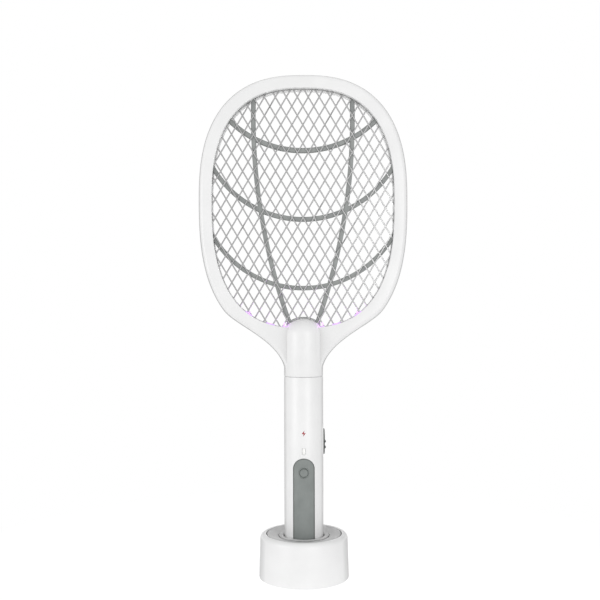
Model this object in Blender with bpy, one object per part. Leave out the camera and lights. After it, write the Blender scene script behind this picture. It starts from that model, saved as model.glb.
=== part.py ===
"""Electric fly swatter standing in its charging dock, at real size.

Metres, +Z up. The front of the swatter faces -Y and its slide switch is on +X.
The origin lies under the dock, in the middle of the surface that it stands on.
"""
import math

import bmesh
import bpy
from mathutils import Matrix, Vector

for old in list(bpy.data.objects):
    bpy.data.objects.remove(old, do_unlink=True)

MM = 0.001

# General fits, and how many sides a round piece has
FIT = 0.3 * MM
BEYOND = 5.0 * MM
FLAT = math.radians(0.5)
SMOOTH = math.radians(35.0)
SMALL_TURN = 0.01
WELD = 0.001 * MM
SNAP = 0.01 * MM
EMPTY_SIZE = 10.0 * MM
SMALL_STEPS = 8
MIDDLE_STEPS = 10
BUTTON_STEPS = 16

# Head: an egg-shaped window in a moulded band
WINDOW_HALF_WIDTH = 93.0 * MM
WINDOW_RISE = 114.0 * MM
WINDOW_DROP = 129.7 * MM
OVAL_TOP_POWER = 2.54
OVAL_FOOT_POWER = 2.63
OVAL_POINTS = 36
BAND_SIDE = 13.5 * MM
BAND_TOP = 14.2 * MM
BAND_FOOT = 15.3 * MM
HEAD_DEPTH = 22.0 * MM
HEAD_WALL = 2.0 * MM
EDGE_ROUND = 4.0 * MM
EDGE_STEPS = 2
LIP = 2.0 * MM

# Neck: the handle's round carried up between two webs
NECK_HEIGHT = 49.3 * MM
FLARE_TURN = math.radians(-45.8)
FLARE_LEAD = 20.8 * MM
FLARE_REACH = 34.4 * MM
FLARE_POINTS = 7
WEB_TUCK = 1.6 * MM
DOME_RISE = 14.8 * MM
DOME_OVER = 9.5 * MM
DOME_ARC = math.radians(78.0)
DOME_POINTS = 3
SPIGOT_LENGTH = 10.0 * MM
SPIGOT_WALL = 2.0 * MM
NECK_ROOF = 3.2 * MM

# Nets and rib grids, stacked between the two lips
NET_THICKNESS = 0.8 * MM
NET_STRAND = 1.3 * MM
NET_PITCH_WIDE = 19.04 * MM
NET_PITCH_HIGH = 32.13 * MM
NET_KNOT_UP = 20.6 * MM
CENTRE_NET_STEP = 2
NET_BORDER = 4.5 * MM
NET_HIDDEN = 1.0 * MM
RIB_DEPTH = 3.2 * MM
RIB_WIDTH = 4.6 * MM
RIB_HIDDEN = 2.3 * MM
RIB_END = 0.8 * MM
RIB_PITCH = 70.5 * MM
RIB_TOP_UP = 51.7 * MM
RIB_SWEEP = math.radians(75.0)
RIB_POINTS = 12
UPRIGHT_SPREAD = 50.8 * MM
UPRIGHT_BOW = 620.0 * MM
UPRIGHT_WIDEST_UP = 85.0 * MM
UPRIGHT_POINTS = 6

# Violet lamps along the lower edge of the window
LAMPS = tuple((x * MM, length * MM) for x, length in (
    (-55.7, 9.0), (-33.7, 9.3), (-19.6, 3.2), (19.6, 3.2), (33.7, 9.3), (55.7, 9.0)))
LAMP_RADIUS = 1.25 * MM
LAMP_ROUND = 0.5 * MM
LAMP_END_POINTS = 4
LAMP_FLANGE = 0.3 * MM
LAMP_PROUD = 1.3 * MM
LAMP_SEAT = 4.2 * MM
STRIP_THICKNESS = 0.8 * MM
STRIP_WIDTH = 2.4 * MM
STRIP_OVERHANG = math.radians(4.0)
STRIP_POINTS = 14

# Screws
SCREW_TURNS = tuple(math.radians(turn) for turn in (52.0, 128.0, 215.0, 325.0))
SCREW_RADIUS = 1.0 * MM
SCREW_HEAD_RADIUS = 2.0 * MM
SCREW_HEAD_HEIGHT = 1.2 * MM
SCREW_BITE = 6.0 * MM
BOSS_WALL = 1.6 * MM

# Handle tube
HANDLE_RADIUS = 20.0 * MM
HANDLE_LENGTH = 187.7 * MM
HANDLE_WALL = 2.4 * MM
HANDLE_STEPS = 28
END_CAP_THICKNESS = 5.0 * MM

# Grip panel and press button on the front
PANEL_WIDTH = 21.3 * MM
PANEL_TOP_UP = 106.2 * MM
PANEL_BOTTOM_UP = 6.0 * MM
PANEL_THICKNESS = 1.1 * MM
ARCH_POINTS = 10
BUTTON_UP = 91.7 * MM
BUTTON_RADIUS = 5.5 * MM
BUTTON_FLANGE = 1.2 * MM
BUTTON_TRAVEL = 0.8 * MM
BUTTON_DISH = 0.5 * MM
BUTTON_DISH_RADIUS = 4.7 * MM
BUTTON_STEM = 2.0 * MM

# Indicator windows on the front
BOLT_UP = 131.5 * MM
BOLT_WIDTH = 4.0 * MM
BOLT_HEIGHT = 6.2 * MM
CELL_ICON_UP = 113.4 * MM
CELL_ICON_WIDTH = 3.3 * MM
CELL_ICON_HEIGHT = 6.3 * MM
CELL_ICON_CORNER = 0.8 * MM
INDICATOR_SIZE = 2.4 * MM
LENS_SINK = 2.0 * MM

# Slide switch on the right side
SWITCH_UP = 120.85 * MM
SWITCH_TRAVEL = 4.5 * MM
CAP_LENGTH = 26.0 * MM
CAP_WIDTH = 7.6 * MM
CAP_PROUD = 1.7 * MM
CAP_ROUND = 0.85 * MM
CAP_RIDGE = 1.0 * MM
CAP_RIDGE_WIDTH = 2.2 * MM
CAP_RIDGE_LENGTH = 6.4 * MM
CAP_RIDGE_DROPS = (0.0, 5.9 * MM)
BEZEL_RIM = 2.0 * MM
BEZEL_PROUD = 0.4 * MM
BEZEL_ROUND = 0.8 * MM
BEZEL_DEPTH = 3.2 * MM
TRACK_DEPTH = 1.5 * MM
STEM_LENGTH = 3.0 * MM
STEM_WIDTH = 2.4 * MM
SLIDER_WIDTH = 5.0 * MM
SLIDER_DEPTH = 7.4 * MM
SLIDER_END = 3.0 * MM
LEVER_SINK = 2.0 * MM

# Inside the handle
BATTERY_RADIUS = 9.2 * MM
BATTERY_LENGTH = 65.0 * MM
BATTERY_EDGE = 0.55 * MM
BATTERY_NUB_RADIUS = 2.75 * MM
BATTERY_NUB_HEIGHT = 1.5 * MM
BATTERY_GAP = 1.0 * MM
CRADLE_ARC = math.radians(75.0)
CRADLE_END = 1.5 * MM
CRADLE_POINTS = 10
BOARD_SETBACK = 6.0 * MM
BOARD_THICKNESS = 1.6 * MM
BOARD_GAP = 4.0 * MM
TACT_SIZE = 6.2 * MM
TACT_HEIGHT = 3.4 * MM
PLUNGER_RADIUS = 1.75 * MM
PLUNGER_LENGTH = 2.6 * MM
PLUNGER_PROUD = 1.6 * MM
COIL_WIDTH = 17.0 * MM
COIL_DEPTH = 12.0 * MM
COIL_HEIGHT = 15.0 * MM
COIL_FLANGE = 2.0 * MM
CAPACITOR_WIDTH = 13.0 * MM
CAPACITOR_DEPTH = 6.0 * MM
CAPACITOR_HEIGHT = 11.0 * MM
CAPACITOR_ROUND = 0.75 * MM
LEAD_RADIUS = 0.6 * MM
LEAD_SPREAD = 6.0 * MM
LEAD_POINTS = 8
LEAD_BENDS = (0.3, 0.7)

# Dock: a tapered cup with a well for the handle
BASE_RADIUS = 45.9 * MM
BASE_TOP_RADIUS = 44.7 * MM
BASE_HEIGHT = 45.0 * MM
BASE_WALL = 2.2 * MM
BASE_STEPS = 32
BASE_LIFT = 0.8 * MM
RIM_ROUND = 4.6 * MM
RIM_WIDTH = 6.3 * MM
RIM_STEPS = 3
PLATE_RECESS = 2.4 * MM
PLATE_THICKNESS = 1.8 * MM
LEDGE = 2.2 * MM
COLLAR_WIDTH = 4.8 * MM
COLLAR_RISE = 0.9 * MM
COLLAR_SLOPE = 1.4 * MM
WELL_PLAY = 0.7 * MM
WELL_WALL = 2.0 * MM
WELL_FLOOR = 2.3 * MM
FOOT_WIDTH = 6.0 * MM
FOOT_INSET = 4.0 * MM
FOOT_PROUD = 1.1 * MM
FOOT_SINK = 1.0 * MM
BOTTOM_THICKNESS = 3.5 * MM
BOTTOM_POST = 0.9 * MM
BASE_SCREW_TURNS = tuple(math.radians(turn) for turn in (30.0, 150.0, 270.0))

# Dock electronics
DOCK_BOARD_WIDTH = 30.0 * MM
DOCK_BOARD_FRONT = 13.0 * MM
POST_RADIUS = 2.0 * MM
PIN_SPREAD = 7.0 * MM
PIN_RADIUS = 1.1 * MM
PIN_TIP_RADIUS = 0.66 * MM
PIN_TIP_HEIGHT = 0.6 * MM
PIN_COLLAR_RADIUS = 1.8 * MM
PIN_COLLAR_HEIGHT = 1.0 * MM
PIN_COLLAR_DROP = 1.4 * MM
PIN_PLAY = 0.4 * MM
PIN_BLOCK_HEIGHT = 7.4 * MM
PIN_BLOCK_DEPTH = 8.0 * MM
PIN_BLOCK_FLOOR = 1.0 * MM
PIN_BLOCK_WALL = 1.6 * MM
SPRING_WIRE = 0.22 * MM
SPRING_TURNS = 3.5
SPRING_POINTS = 8
PAD_RADIUS = 2.6 * MM
PAD_THICKNESS = 1.0 * MM
INLET_WIDTH = 8.9 * MM
INLET_HEIGHT = 3.2 * MM
INLET_LENGTH = 7.3 * MM
INLET_WALL = 0.35 * MM
INLET_SINK = 1.6 * MM
INLET_ON_BOARD = 2.9 * MM
INLET_TONGUE = 0.7 * MM
PLUG_MARGIN = 1.7 * MM

# Places along Z, from the surface up
BOTTOM_LOW = FOOT_PROUD
BOTTOM_TOP = BOTTOM_LOW + BOTTOM_THICKNESS
DOCK_BOARD_LOW = BOTTOM_TOP + BOTTOM_POST + FIT
DOCK_BOARD_TOP = DOCK_BOARD_LOW + BOARD_THICKNESS
PIN_BLOCK_LOW = DOCK_BOARD_TOP + FIT
PIN_BLOCK_TOP = PIN_BLOCK_LOW + PIN_BLOCK_HEIGHT
FLOOR_LOW = PIN_BLOCK_TOP + FIT
FLOOR_TOP = FLOOR_LOW + WELL_FLOOR
HANDLE_LOW = FLOOR_TOP + FIT
HANDLE_TOP = HANDLE_LOW + HANDLE_LENGTH
SEAM_Z = HANDLE_TOP + FIT
WINDOW_LOW = SEAM_Z + NECK_HEIGHT
WINDOW_Z = WINDOW_LOW + WINDOW_DROP
CAP_TOP = HANDLE_LOW + FIT + END_CAP_THICKNESS
BATTERY_LOW = CAP_TOP + BATTERY_GAP + CRADLE_END
BATTERY_TOP = BATTERY_LOW + BATTERY_LENGTH
BOARD_LOW = BATTERY_TOP + BOARD_GAP
BOARD_TOP = HANDLE_TOP - SPIGOT_LENGTH - BOARD_GAP

# Places along Y, from the middle of the head outwards
RIB_NEAR = NET_THICKNESS / 2 + FIT
RIB_FAR = RIB_NEAR + RIB_DEPTH
OUTER_NET_Y = RIB_FAR + FIT + NET_THICKNESS / 2
LIP_END = OUTER_NET_Y + NET_THICKNESS / 2 + FIT
HEAD_HALF_DEPTH = HEAD_DEPTH / 2
CHANNEL_END = HEAD_HALF_DEPTH - HEAD_WALL
LAMP_Y = -(LIP_END + CHANNEL_END) / 2

# Radii and faces that several pieces share
HEAD_HALF_WIDTH = WINDOW_HALF_WIDTH + BAND_SIDE
HEAD_RISE = WINDOW_RISE + BAND_TOP
HEAD_DROP = WINDOW_DROP + BAND_FOOT
BORE = HANDLE_RADIUS - HANDLE_WALL
PANEL_SEAT = HANDLE_RADIUS - PANEL_THICKNESS - FIT
BOARD_FRONT = -BOARD_SETBACK
BOARD_BACK = BOARD_FRONT + BOARD_THICKNESS
INDICATOR_HEIGHT = BORE - LENS_SINK - BOARD_SETBACK - 2 * FIT
BOARD_HALF_WIDTH = math.sqrt(BORE ** 2 - BOARD_SETBACK ** 2) - FIT
WELL_RADIUS = HANDLE_RADIUS + WELL_PLAY
PLATE_RADIUS = BASE_TOP_RADIUS - RIM_WIDTH
PLATE_TOP = BASE_HEIGHT - PLATE_RECESS
SWITCH_Z = HANDLE_LOW + SWITCH_UP
BUTTON_Z = HANDLE_LOW + BUTTON_UP
TRACK_LENGTH = CAP_LENGTH + SWITCH_TRAVEL + 4 * FIT
TRACK_Z = SWITCH_Z + SWITCH_TRAVEL / 2
TRACK_WIDTH = CAP_WIDTH + 2 * FIT
BEZEL_FACE = HANDLE_RADIUS + BEZEL_PROUD
TRACK_FACE = BEZEL_FACE - TRACK_DEPTH
LEVER_TIP = BEZEL_FACE - BEZEL_DEPTH - FIT
SLIDER_FACE = LEVER_TIP - LEVER_SINK

# Finishes: colour as sRGB hex, roughness, metallic
LOOKS = {
    "white_abs": ("F1F1EF", 0.35, 0.0),
    "grey_abs": ("8E918F", 0.45, 0.0),
    "pale_grey_abs": ("C4C4C2", 0.45, 0.0),
    "soft_grip": ("8B908E", 0.6, 0.0),
    "net_steel": ("B4B4B2", 0.3, 1.0),
    "screw_steel": ("9A9A98", 0.35, 1.0),
    "gold_contact": ("D8B45A", 0.3, 1.0),
    "green_board": ("2F6B45", 0.5, 0.0),
    "black_moulding": ("26272A", 0.5, 0.0),
    "rubber": ("4A4A4A", 0.8, 0.0),
    "violet_lamp": ("B9A0F0", 0.15, 0.0),
    "red_lens": ("A8303A", 0.25, 0.0),
    "milk_lens": ("ECECEA", 0.3, 0.0),
    "cell_wrap": ("3E7FB5", 0.4, 0.0),
    "copper": ("B8703C", 0.35, 1.0),
    "red_lead": ("B02A2A", 0.5, 0.0),
    "black_lead": ("222222", 0.5, 0.0),
}


# Mesh helpers

def linear(channel):
    """One sRGB channel, 0 to 1, as linear light."""
    return channel / 12.92 if channel <= 0.04045 else ((channel + 0.055) / 1.055) ** 2.4


def solid(bm, name="tool"):
    """A mesh object made from a bmesh, with its faces pointing outwards."""
    bm.normal_update()
    bmesh.ops.recalc_face_normals(bm, faces=bm.faces)
    mesh = bpy.data.meshes.new(name)
    bm.to_mesh(mesh)
    bm.free()
    made = bpy.data.objects.new(name, mesh)
    bpy.context.scene.collection.objects.link(made)
    return made


def combine(target, bm, operation):
    """Applies a Boolean of a shape to the target, and removes the shape."""
    tool = solid(bm)
    modifier = target.modifiers.new("combine", "BOOLEAN")
    modifier.operation = operation
    modifier.object = tool
    modifier.solver = "MANIFOLD"
    graph = bpy.context.evaluated_depsgraph_get()
    result = bpy.data.meshes.new_from_object(target.evaluated_get(graph))
    target.modifiers.clear()
    before = target.data
    target.data = result
    bpy.data.meshes.remove(before)
    bpy.data.objects.remove(tool, do_unlink=True)


def cut(target, *shapes):
    for bm in shapes:
        combine(target, bm, "DIFFERENCE")


def join(target, *shapes):
    for bm in shapes:
        combine(target, bm, "UNION")


def keep(target, bm):
    combine(target, bm, "INTERSECT")


def taken(made):
    """A made solid taken back as a shape, for use in another Boolean."""
    shape = bmesh.new()
    shape.from_mesh(made.data)
    bpy.data.objects.remove(made, do_unlink=True)
    return shape


def piece(name, made, look, body):
    """Names a finished solid, gives it its own material and hangs it on its body's empty."""
    colour, roughness, metallic = LOOKS[look]
    finish = bpy.data.materials.new(f"{name}_{look}")
    finish.use_nodes = True
    shader = finish.node_tree.nodes["Principled BSDF"]
    channels = [linear(int(colour[i:i + 2], 16) / 255) for i in (0, 2, 4)]
    shader.inputs["Base Color"].default_value = (*channels, 1.0)
    shader.inputs["Roughness"].default_value = roughness
    shader.inputs["Metallic"].default_value = metallic
    made.name = name
    made.data.name = name
    made.data.materials.clear()
    made.data.materials.append(finish)
    if made.type == "MESH":
        made.data.shade_smooth()
        made.data.set_sharp_from_angle(angle=SMOOTH)
    made.parent = body
    made.matrix_parent_inverse = body.matrix_world.inverted()
    return made


def prism(outline, low, high, axis="Y"):
    """A flat outline extruded along an axis: its points are (x, z), or (y, z) on X and (x, y) on Z."""
    order = {"X": (2, 0, 1), "Y": (0, 2, 1), "Z": (0, 1, 2)}[axis]
    bm = bmesh.new()
    corners = []
    for first, second in outline:
        flat = (first, second, low)
        corners.append(bm.verts.new([flat[i] for i in order]))
    made = bmesh.ops.extrude_face_region(bm, geom=[bm.faces.new(corners)])
    moved = [part for part in made["geom"] if isinstance(part, bmesh.types.BMVert)]
    shift = (0.0, 0.0, high - low)
    bmesh.ops.translate(bm, verts=moved, vec=[shift[i] for i in order])
    return bm


def turned(profile, steps, place=None, closed=True):
    """A profile of (radius, height) spun about Z. An open profile starts and ends on the axis."""
    bm = bmesh.new()
    points = [bm.verts.new((radius, 0.0, height)) for radius, height in profile]
    pairs = list(zip(points, points[1:]))
    if closed:
        pairs.append((points[-1], points[0]))
    edges = [bm.edges.new(pair) for pair in pairs]
    bmesh.ops.spin(bm, geom=points + edges, cent=(0, 0, 0), axis=(0, 0, 1), dvec=(0, 0, 0),
                   angle=math.tau, steps=steps, use_merge=True)
    bmesh.ops.remove_doubles(bm, verts=bm.verts, dist=WELD)
    bmesh.ops.dissolve_degenerate(bm, edges=bm.edges, dist=WELD)
    middles = [vert for vert in bm.verts if vert.co.xy.length < WELD]
    spokes = {edge for vert in middles for edge in vert.link_edges}
    bmesh.ops.dissolve_limit(bm, angle_limit=FLAT, verts=middles, edges=list(spokes))
    if place:
        bm.transform(place)
    return bm


def rod(radius, low, high, place=None, steps=MIDDLE_STEPS):
    return turned([(0, high), (radius, high), (radius, low), (0, low)], steps, place, closed=False)


def box(low, high):
    outline = [(low[0], low[1]), (high[0], low[1]), (high[0], high[1]), (low[0], high[1])]
    return prism(outline, low[2], high[2], "Z")


def half_space(side):
    """The whole front (-1) or rear (+1) of the object, half a fit short of the parting plane."""
    reach = WINDOW_Z + HEAD_RISE + BEYOND
    return prism([(-reach, 0.0), (reach, 0.0), (reach, reach), (-reach, reach)], side * FIT / 2, side * reach)


def aimed(at, towards):
    """A placement that takes +Z to a direction and the origin to a point."""
    return Matrix.Translation(at) @ Vector(towards).to_track_quat("Z", "Y").to_matrix().to_4x4()


def stadium(length, width, centre, points=8):
    """An outline (across, along) with round ends, long along the second axis."""
    radius = width / 2
    reach = length / 2 - radius
    outline = []
    for end in (1, -1):
        for i in range(points + 1):
            turn = math.pi * i / points
            outline.append((end * radius * math.cos(turn), centre + end * (reach + radius * math.sin(turn))))
    return outline


def body_empty(name, at):
    """The empty that carries a body's pieces, on that body's joint axis."""
    made = bpy.data.objects.new(name, None)
    made.empty_display_size = EMPTY_SIZE
    made.location = at
    bpy.context.scene.collection.objects.link(made)
    bpy.context.view_layer.update()
    return made


# Outlines of the head

def oval_point(turn, half_width, rise, drop):
    """A point of an egg-shaped superellipse about the window's centre."""
    across = math.cos(turn)
    up = math.sin(turn)
    reach, power = (rise, 2 / OVAL_TOP_POWER) if up > 0 else (drop, 2 / OVAL_FOOT_POWER)
    x = half_width * math.copysign(abs(across) ** power, across)
    z = reach * math.copysign(abs(up) ** power, up)
    return x, WINDOW_Z + z


def window_point(turn, grow=0.0):
    return oval_point(turn, WINDOW_HALF_WIDTH + grow, WINDOW_RISE + grow, WINDOW_DROP + grow)


def window(grow=0.0):
    """The window's edge, moved outwards by a margin."""
    return [window_point(math.tau * i / OVAL_POINTS, grow) for i in range(OVAL_POINTS)]


def window_normal(turn):
    """The outward direction of the window's edge, in the XZ plane."""
    ahead = Vector(window_point(turn + SMALL_TURN))
    behind = Vector(window_point(turn - SMALL_TURN))
    along = (ahead - behind).normalized()
    return Vector((along.y, 0.0, -along.x))


def lower_turn(x):
    """The turn at which the window's lower edge passes over x."""
    share = (abs(x) / WINDOW_HALF_WIDTH) ** (OVAL_FOOT_POWER / 2)
    turn = -math.acos(share)
    return turn if x > 0 else -math.pi - turn


def head_outline(inset=0.0, low=SEAM_Z):
    """The head's outer edge from neck to neck, where two flares take the oval into the neck."""
    def edge(turn):
        return Vector(oval_point(turn, HEAD_HALF_WIDTH - inset, HEAD_RISE - inset, HEAD_DROP - inset))

    neck = HANDLE_RADIUS - WEB_TUCK - inset
    leave = edge(FLARE_TURN)
    heading = (edge(FLARE_TURN - SMALL_TURN) - leave).normalized()
    controls = (Vector((neck, low)), Vector((neck, SEAM_Z + FLARE_REACH)),
                leave + heading * FLARE_LEAD, leave)
    right = []
    for i in range(FLARE_POINTS):
        t = i / FLARE_POINTS
        weights = ((1 - t) ** 3, 3 * t * (1 - t) ** 2, 3 * t ** 2 * (1 - t), t ** 3)
        right.append(sum((point * weight for point, weight in zip(controls, weights)), Vector((0, 0))))
    sweep = math.pi - 2 * FLARE_TURN
    over = [edge(FLARE_TURN + sweep * i / OVAL_POINTS) for i in range(OVAL_POINTS + 1)]
    left = [Vector((-point.x, point.y)) for point in reversed(right)]
    return [tuple(point) for point in right + over + left]


def arc_strip(centre, radius, width, start, end, points):
    """A curved strip between two radii about a centre in XZ."""
    turns = [start + (end - start) * i / points for i in range(points + 1)]
    strip = []
    for reach, way in ((radius + width / 2, turns), (radius - width / 2, reversed(turns))):
        strip += [(centre[0] + reach * math.cos(turn), centre[1] + reach * math.sin(turn)) for turn in way]
    return strip


# Head pieces

def neck_shape():
    """The handle's round carried up to its domed top, with a spigot below that plugs into the handle."""
    dome_low = WINDOW_LOW + DOME_OVER - DOME_RISE
    spigot = BORE - FIT
    profile = [(0.0, SEAM_Z - SPIGOT_LENGTH), (spigot, SEAM_Z - SPIGOT_LENGTH), (spigot, SEAM_Z),
               (HANDLE_RADIUS, SEAM_Z)]
    for i in range(DOME_POINTS + 1):
        turn = DOME_ARC * i / DOME_POINTS
        profile.append((HANDLE_RADIUS * math.cos(turn), dome_low + DOME_RISE * math.sin(turn)))
    profile.append((0.0, dome_low + DOME_RISE * math.sin(DOME_ARC)))
    return turned(profile, HANDLE_STEPS, closed=False)


def neck_cavity():
    """The hollow of the spigot and the neck, up to just below the window's lip."""
    spigot = BORE - FIT - SPIGOT_WALL
    step = SEAM_Z + SPIGOT_WALL
    top = WINDOW_LOW - NECK_ROOF
    profile = [(0.0, SEAM_Z - SPIGOT_LENGTH - BEYOND), (spigot, SEAM_Z - SPIGOT_LENGTH - BEYOND),
               (spigot, step), (BORE, step), (BORE, top), (0.0, top)]
    return turned(profile, HANDLE_STEPS, closed=False)


def screw_places():
    """Where the head screws sit: beside the nets' borders, in the band's channel."""
    middle = NET_BORDER + FIT + SCREW_RADIUS + BOSS_WALL
    return [window_point(turn, middle) for turn in SCREW_TURNS]


def head_frame(name, side, body):
    """One moulded half of the head: a channel-shaped band round the window, its webs and its neck."""
    shell = prism(head_outline(), -side * BEYOND, side * HEAD_HALF_DEPTH)
    rim = []
    for edge in shell.edges:
        far = all(abs(abs(vert.co.y) - HEAD_HALF_DEPTH) < FIT / 2 for vert in edge.verts)
        on_seam = all(abs(vert.co.z - SEAM_Z) < FIT / 2 for vert in edge.verts)
        if far and not on_seam:
            rim.append(edge)
    bmesh.ops.bevel(shell, geom=rim, offset=EDGE_ROUND, segments=EDGE_STEPS, profile=0.5, affect="EDGES")
    frame = solid(shell)
    through = (-HEAD_DEPTH, HEAD_DEPTH)
    cut(frame, prism(window(), *through))
    join(frame, neck_shape())
    inside = head_outline(HEAD_WALL, SEAM_Z + 2 * SPIGOT_WALL)
    cut(frame, prism(inside, -side * HEAD_DEPTH, side * LIP_END))
    channel = solid(prism(inside, side * (LIP_END - NET_THICKNESS), side * CHANNEL_END))
    cut(channel, prism(window(LIP), *through))
    cut(frame, taken(channel))
    cut(frame, neck_cavity())
    for x, z in screw_places():
        place = aimed((x, 0.0, z), (0.0, side, 0.0))
        join(frame, rod(SCREW_RADIUS + BOSS_WALL, -FIT, CHANNEL_END + HEAD_WALL / 2, place, SMALL_STEPS))
        if side < 0:
            cut(frame, rod(SCREW_RADIUS + FIT, -BEYOND, SCREW_BITE + FIT, place, SMALL_STEPS))
        else:
            cut(frame, rod(SCREW_RADIUS + FIT, -BEYOND, HEAD_DEPTH, place, SMALL_STEPS))
            seat = HEAD_HALF_DEPTH - SCREW_HEAD_HEIGHT - FIT * 2
            cut(frame, rod(SCREW_HEAD_RADIUS + FIT, seat, HEAD_DEPTH, place, SMALL_STEPS))
    if side < 0:
        for x, length in LAMPS:
            cut(frame, lamp_plug(x, length, FIT, -LIP, LAMP_SEAT))
    else:
        cut(frame, upper_screw_hole())
    keep(frame, half_space(side))
    return piece(name, frame, "white_abs", body)


def net(name, middle, step, body):
    """A metal net: an oval sheet divided by two families of slanting lines, with each cell opened."""
    wide = NET_PITCH_WIDE * step
    high = NET_PITCH_HIGH * step
    bm = bmesh.new()
    sheet = bm.faces.new([bm.verts.new((x, 0.0, z)) for x, z in window(NET_BORDER)])
    bmesh.ops.inset_region(bm, faces=[sheet], thickness=NET_BORDER - NET_HIDDEN, use_even_offset=True)
    sheet.material_index = 1
    reach = WINDOW_HALF_WIDTH / wide + (WINDOW_RISE + WINDOW_DROP) / high
    for slant in (1, -1):
        for line in range(-math.ceil(reach), math.ceil(reach) + 1):
            cells = [face for face in bm.faces if face.material_index == 1]
            edges = {edge for face in cells for edge in face.edges}
            corners = {vert for face in cells for vert in face.verts}
            bmesh.ops.bisect_plane(bm, geom=[*corners, *edges, *cells], dist=SNAP,
                                   plane_co=(line * wide, 0.0, WINDOW_Z + NET_KNOT_UP),
                                   plane_no=(1 / wide, 0.0, slant / high))
    roomy = 2 * NET_STRAND
    cells = [face for face in bm.faces if face.material_index == 1]
    cells = [face for face in cells if 4 * face.calc_area() / face.calc_perimeter() > roomy]
    bmesh.ops.inset_individual(bm, faces=cells, thickness=NET_STRAND / 2, use_even_offset=True)
    holes = {vert for face in cells for vert in face.verts}
    bmesh.ops.delete(bm, geom=cells, context="FACES")
    fronts = bm.verts[:]
    twins = bmesh.ops.duplicate(bm, geom=bm.verts[:] + bm.edges[:] + bm.faces[:])["vert_map"]
    welds = {}
    for vert in fronts:
        if vert in holes:
            welds[twins[vert]] = vert
        else:
            vert.co.y = -NET_THICKNESS / 2
            twins[vert].co.y = NET_THICKNESS / 2
    bmesh.ops.weld_verts(bm, targetmap=welds)
    bmesh.ops.bridge_loops(bm, edges=[edge for edge in bm.edges if edge.is_boundary])
    bmesh.ops.translate(bm, verts=bm.verts, vec=(0.0, middle, 0.0))
    print(name, "has", len(cells), "gaps")
    return piece(name, solid(bm), "net_steel", body)


def rib_grid(name, side, body):
    """The spacer between two nets: a ring, three sagging arcs and two bowed uprights."""
    near = side * RIB_NEAR
    far = side * RIB_FAR
    grid = solid(prism(window(NET_BORDER), near, far))
    cut(grid, prism(window(RIB_HIDDEN), -HEAD_DEPTH, HEAD_DEPTH))
    strips = []
    for row in range(3):
        lowest = WINDOW_Z + RIB_TOP_UP - row * RIB_PITCH
        down = -math.pi / 2
        strips.append(arc_strip((0.0, lowest + HEAD_HALF_WIDTH), HEAD_HALF_WIDTH, RIB_WIDTH,
                                down - RIB_SWEEP, down + RIB_SWEEP, RIB_POINTS))
    widest = WINDOW_Z + UPRIGHT_WIDEST_UP
    top = math.asin((WINDOW_RISE + NET_BORDER * 2 - UPRIGHT_WIDEST_UP) / UPRIGHT_BOW)
    foot = math.asin((WINDOW_DROP + NET_BORDER * 2 + UPRIGHT_WIDEST_UP) / UPRIGHT_BOW)
    for way in (1, -1):
        centre = (UPRIGHT_SPREAD - UPRIGHT_BOW, widest)
        right = arc_strip(centre, UPRIGHT_BOW, RIB_WIDTH, -foot, top, UPRIGHT_POINTS)
        strips.append([(way * x, z) for x, z in right])
    for strip in strips:
        rib = solid(prism(strip, near, far))
        keep(rib, prism(window(NET_BORDER - RIB_END), -HEAD_DEPTH, HEAD_DEPTH))
        join(grid, taken(rib))
    return piece(name, grid, "grey_abs", body)


def lamp_place(x):
    """A lamp's placement on the window's lower edge: +X along the edge, +Z out of the window."""
    turn = lower_turn(x)
    edge = window_point(turn)
    outwards = window_normal(turn)
    depth = Vector((0.0, 1.0, 0.0))
    axes = Matrix((depth.cross(outwards), depth, outwards)).transposed().to_4x4()
    return Matrix.Translation((edge[0], LAMP_Y, edge[1])) @ axes


def lamp_plug(x, length, grow, low, high, rounding=0.0):
    """An oblong plug at a lamp's place, grown by a margin, with its face towards the window rounded."""
    outline = stadium(length + 2 * grow, 2 * (LAMP_RADIUS + grow), 0.0, LAMP_END_POINTS)
    plug = prism([(along, across) for across, along in outline], low, high, "Z")
    if rounding:
        face = [edge for edge in plug.edges if all(vert.co.z < low + WELD for vert in edge.verts)]
        bmesh.ops.bevel(plug, geom=face, offset=rounding, segments=1, affect="EDGES")
    plug.transform(lamp_place(x))
    return plug


def lamp(name, x, length, body):
    """An oblong lamp that looks into the window through the lip, with a flange behind the lip."""
    back = LAMP_SEAT - 2 * FIT
    made = solid(lamp_plug(x, length, LAMP_FLANGE, LIP + FIT, back))
    join(made, lamp_plug(x, length, 0.0, -LAMP_PROUD, back - FIT, LAMP_ROUND))
    return piece(name, made, "violet_lamp", body)


def lamp_strip(name, body):
    """The strip board behind the lamps, bent along the window's lower edge."""
    start = lower_turn(min(LAMPS)[0]) - STRIP_OVERHANG
    end = lower_turn(max(LAMPS)[0]) + STRIP_OVERHANG
    turns = [start + (end - start) * i / STRIP_POINTS for i in range(STRIP_POINTS + 1)]
    outer = [window_point(turn, LAMP_SEAT + STRIP_THICKNESS) for turn in turns]
    inner = [window_point(turn, LAMP_SEAT) for turn in reversed(turns)]
    strip = prism(outer + inner, LAMP_Y - STRIP_WIDTH / 2, LAMP_Y + STRIP_WIDTH / 2)
    return piece(name, solid(strip), "green_board", body)


def lead(name, points, look, body):
    """A lead along a smooth curve through its route's points."""
    route = [Vector(point) for point in points]
    ends = [2 * route[0] - route[1]] + route + [2 * route[-1] - route[-2]]
    spans = len(route) - 1
    places = []
    for i in range(LEAD_POINTS + 1):
        at = min(i / LEAD_POINTS * spans, spans - 1e-6)
        k = int(at)
        t = at - k
        a, b, c, d = ends[k:k + 4]
        places.append(0.5 * (2 * b + (c - a) * t + (2 * a - 5 * b + 4 * c - d) * t ** 2
                             + (3 * b - a - 3 * c + d) * t ** 3))
    return piece(name, tube(name, places, LEAD_RADIUS, 1), look, body)


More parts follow.
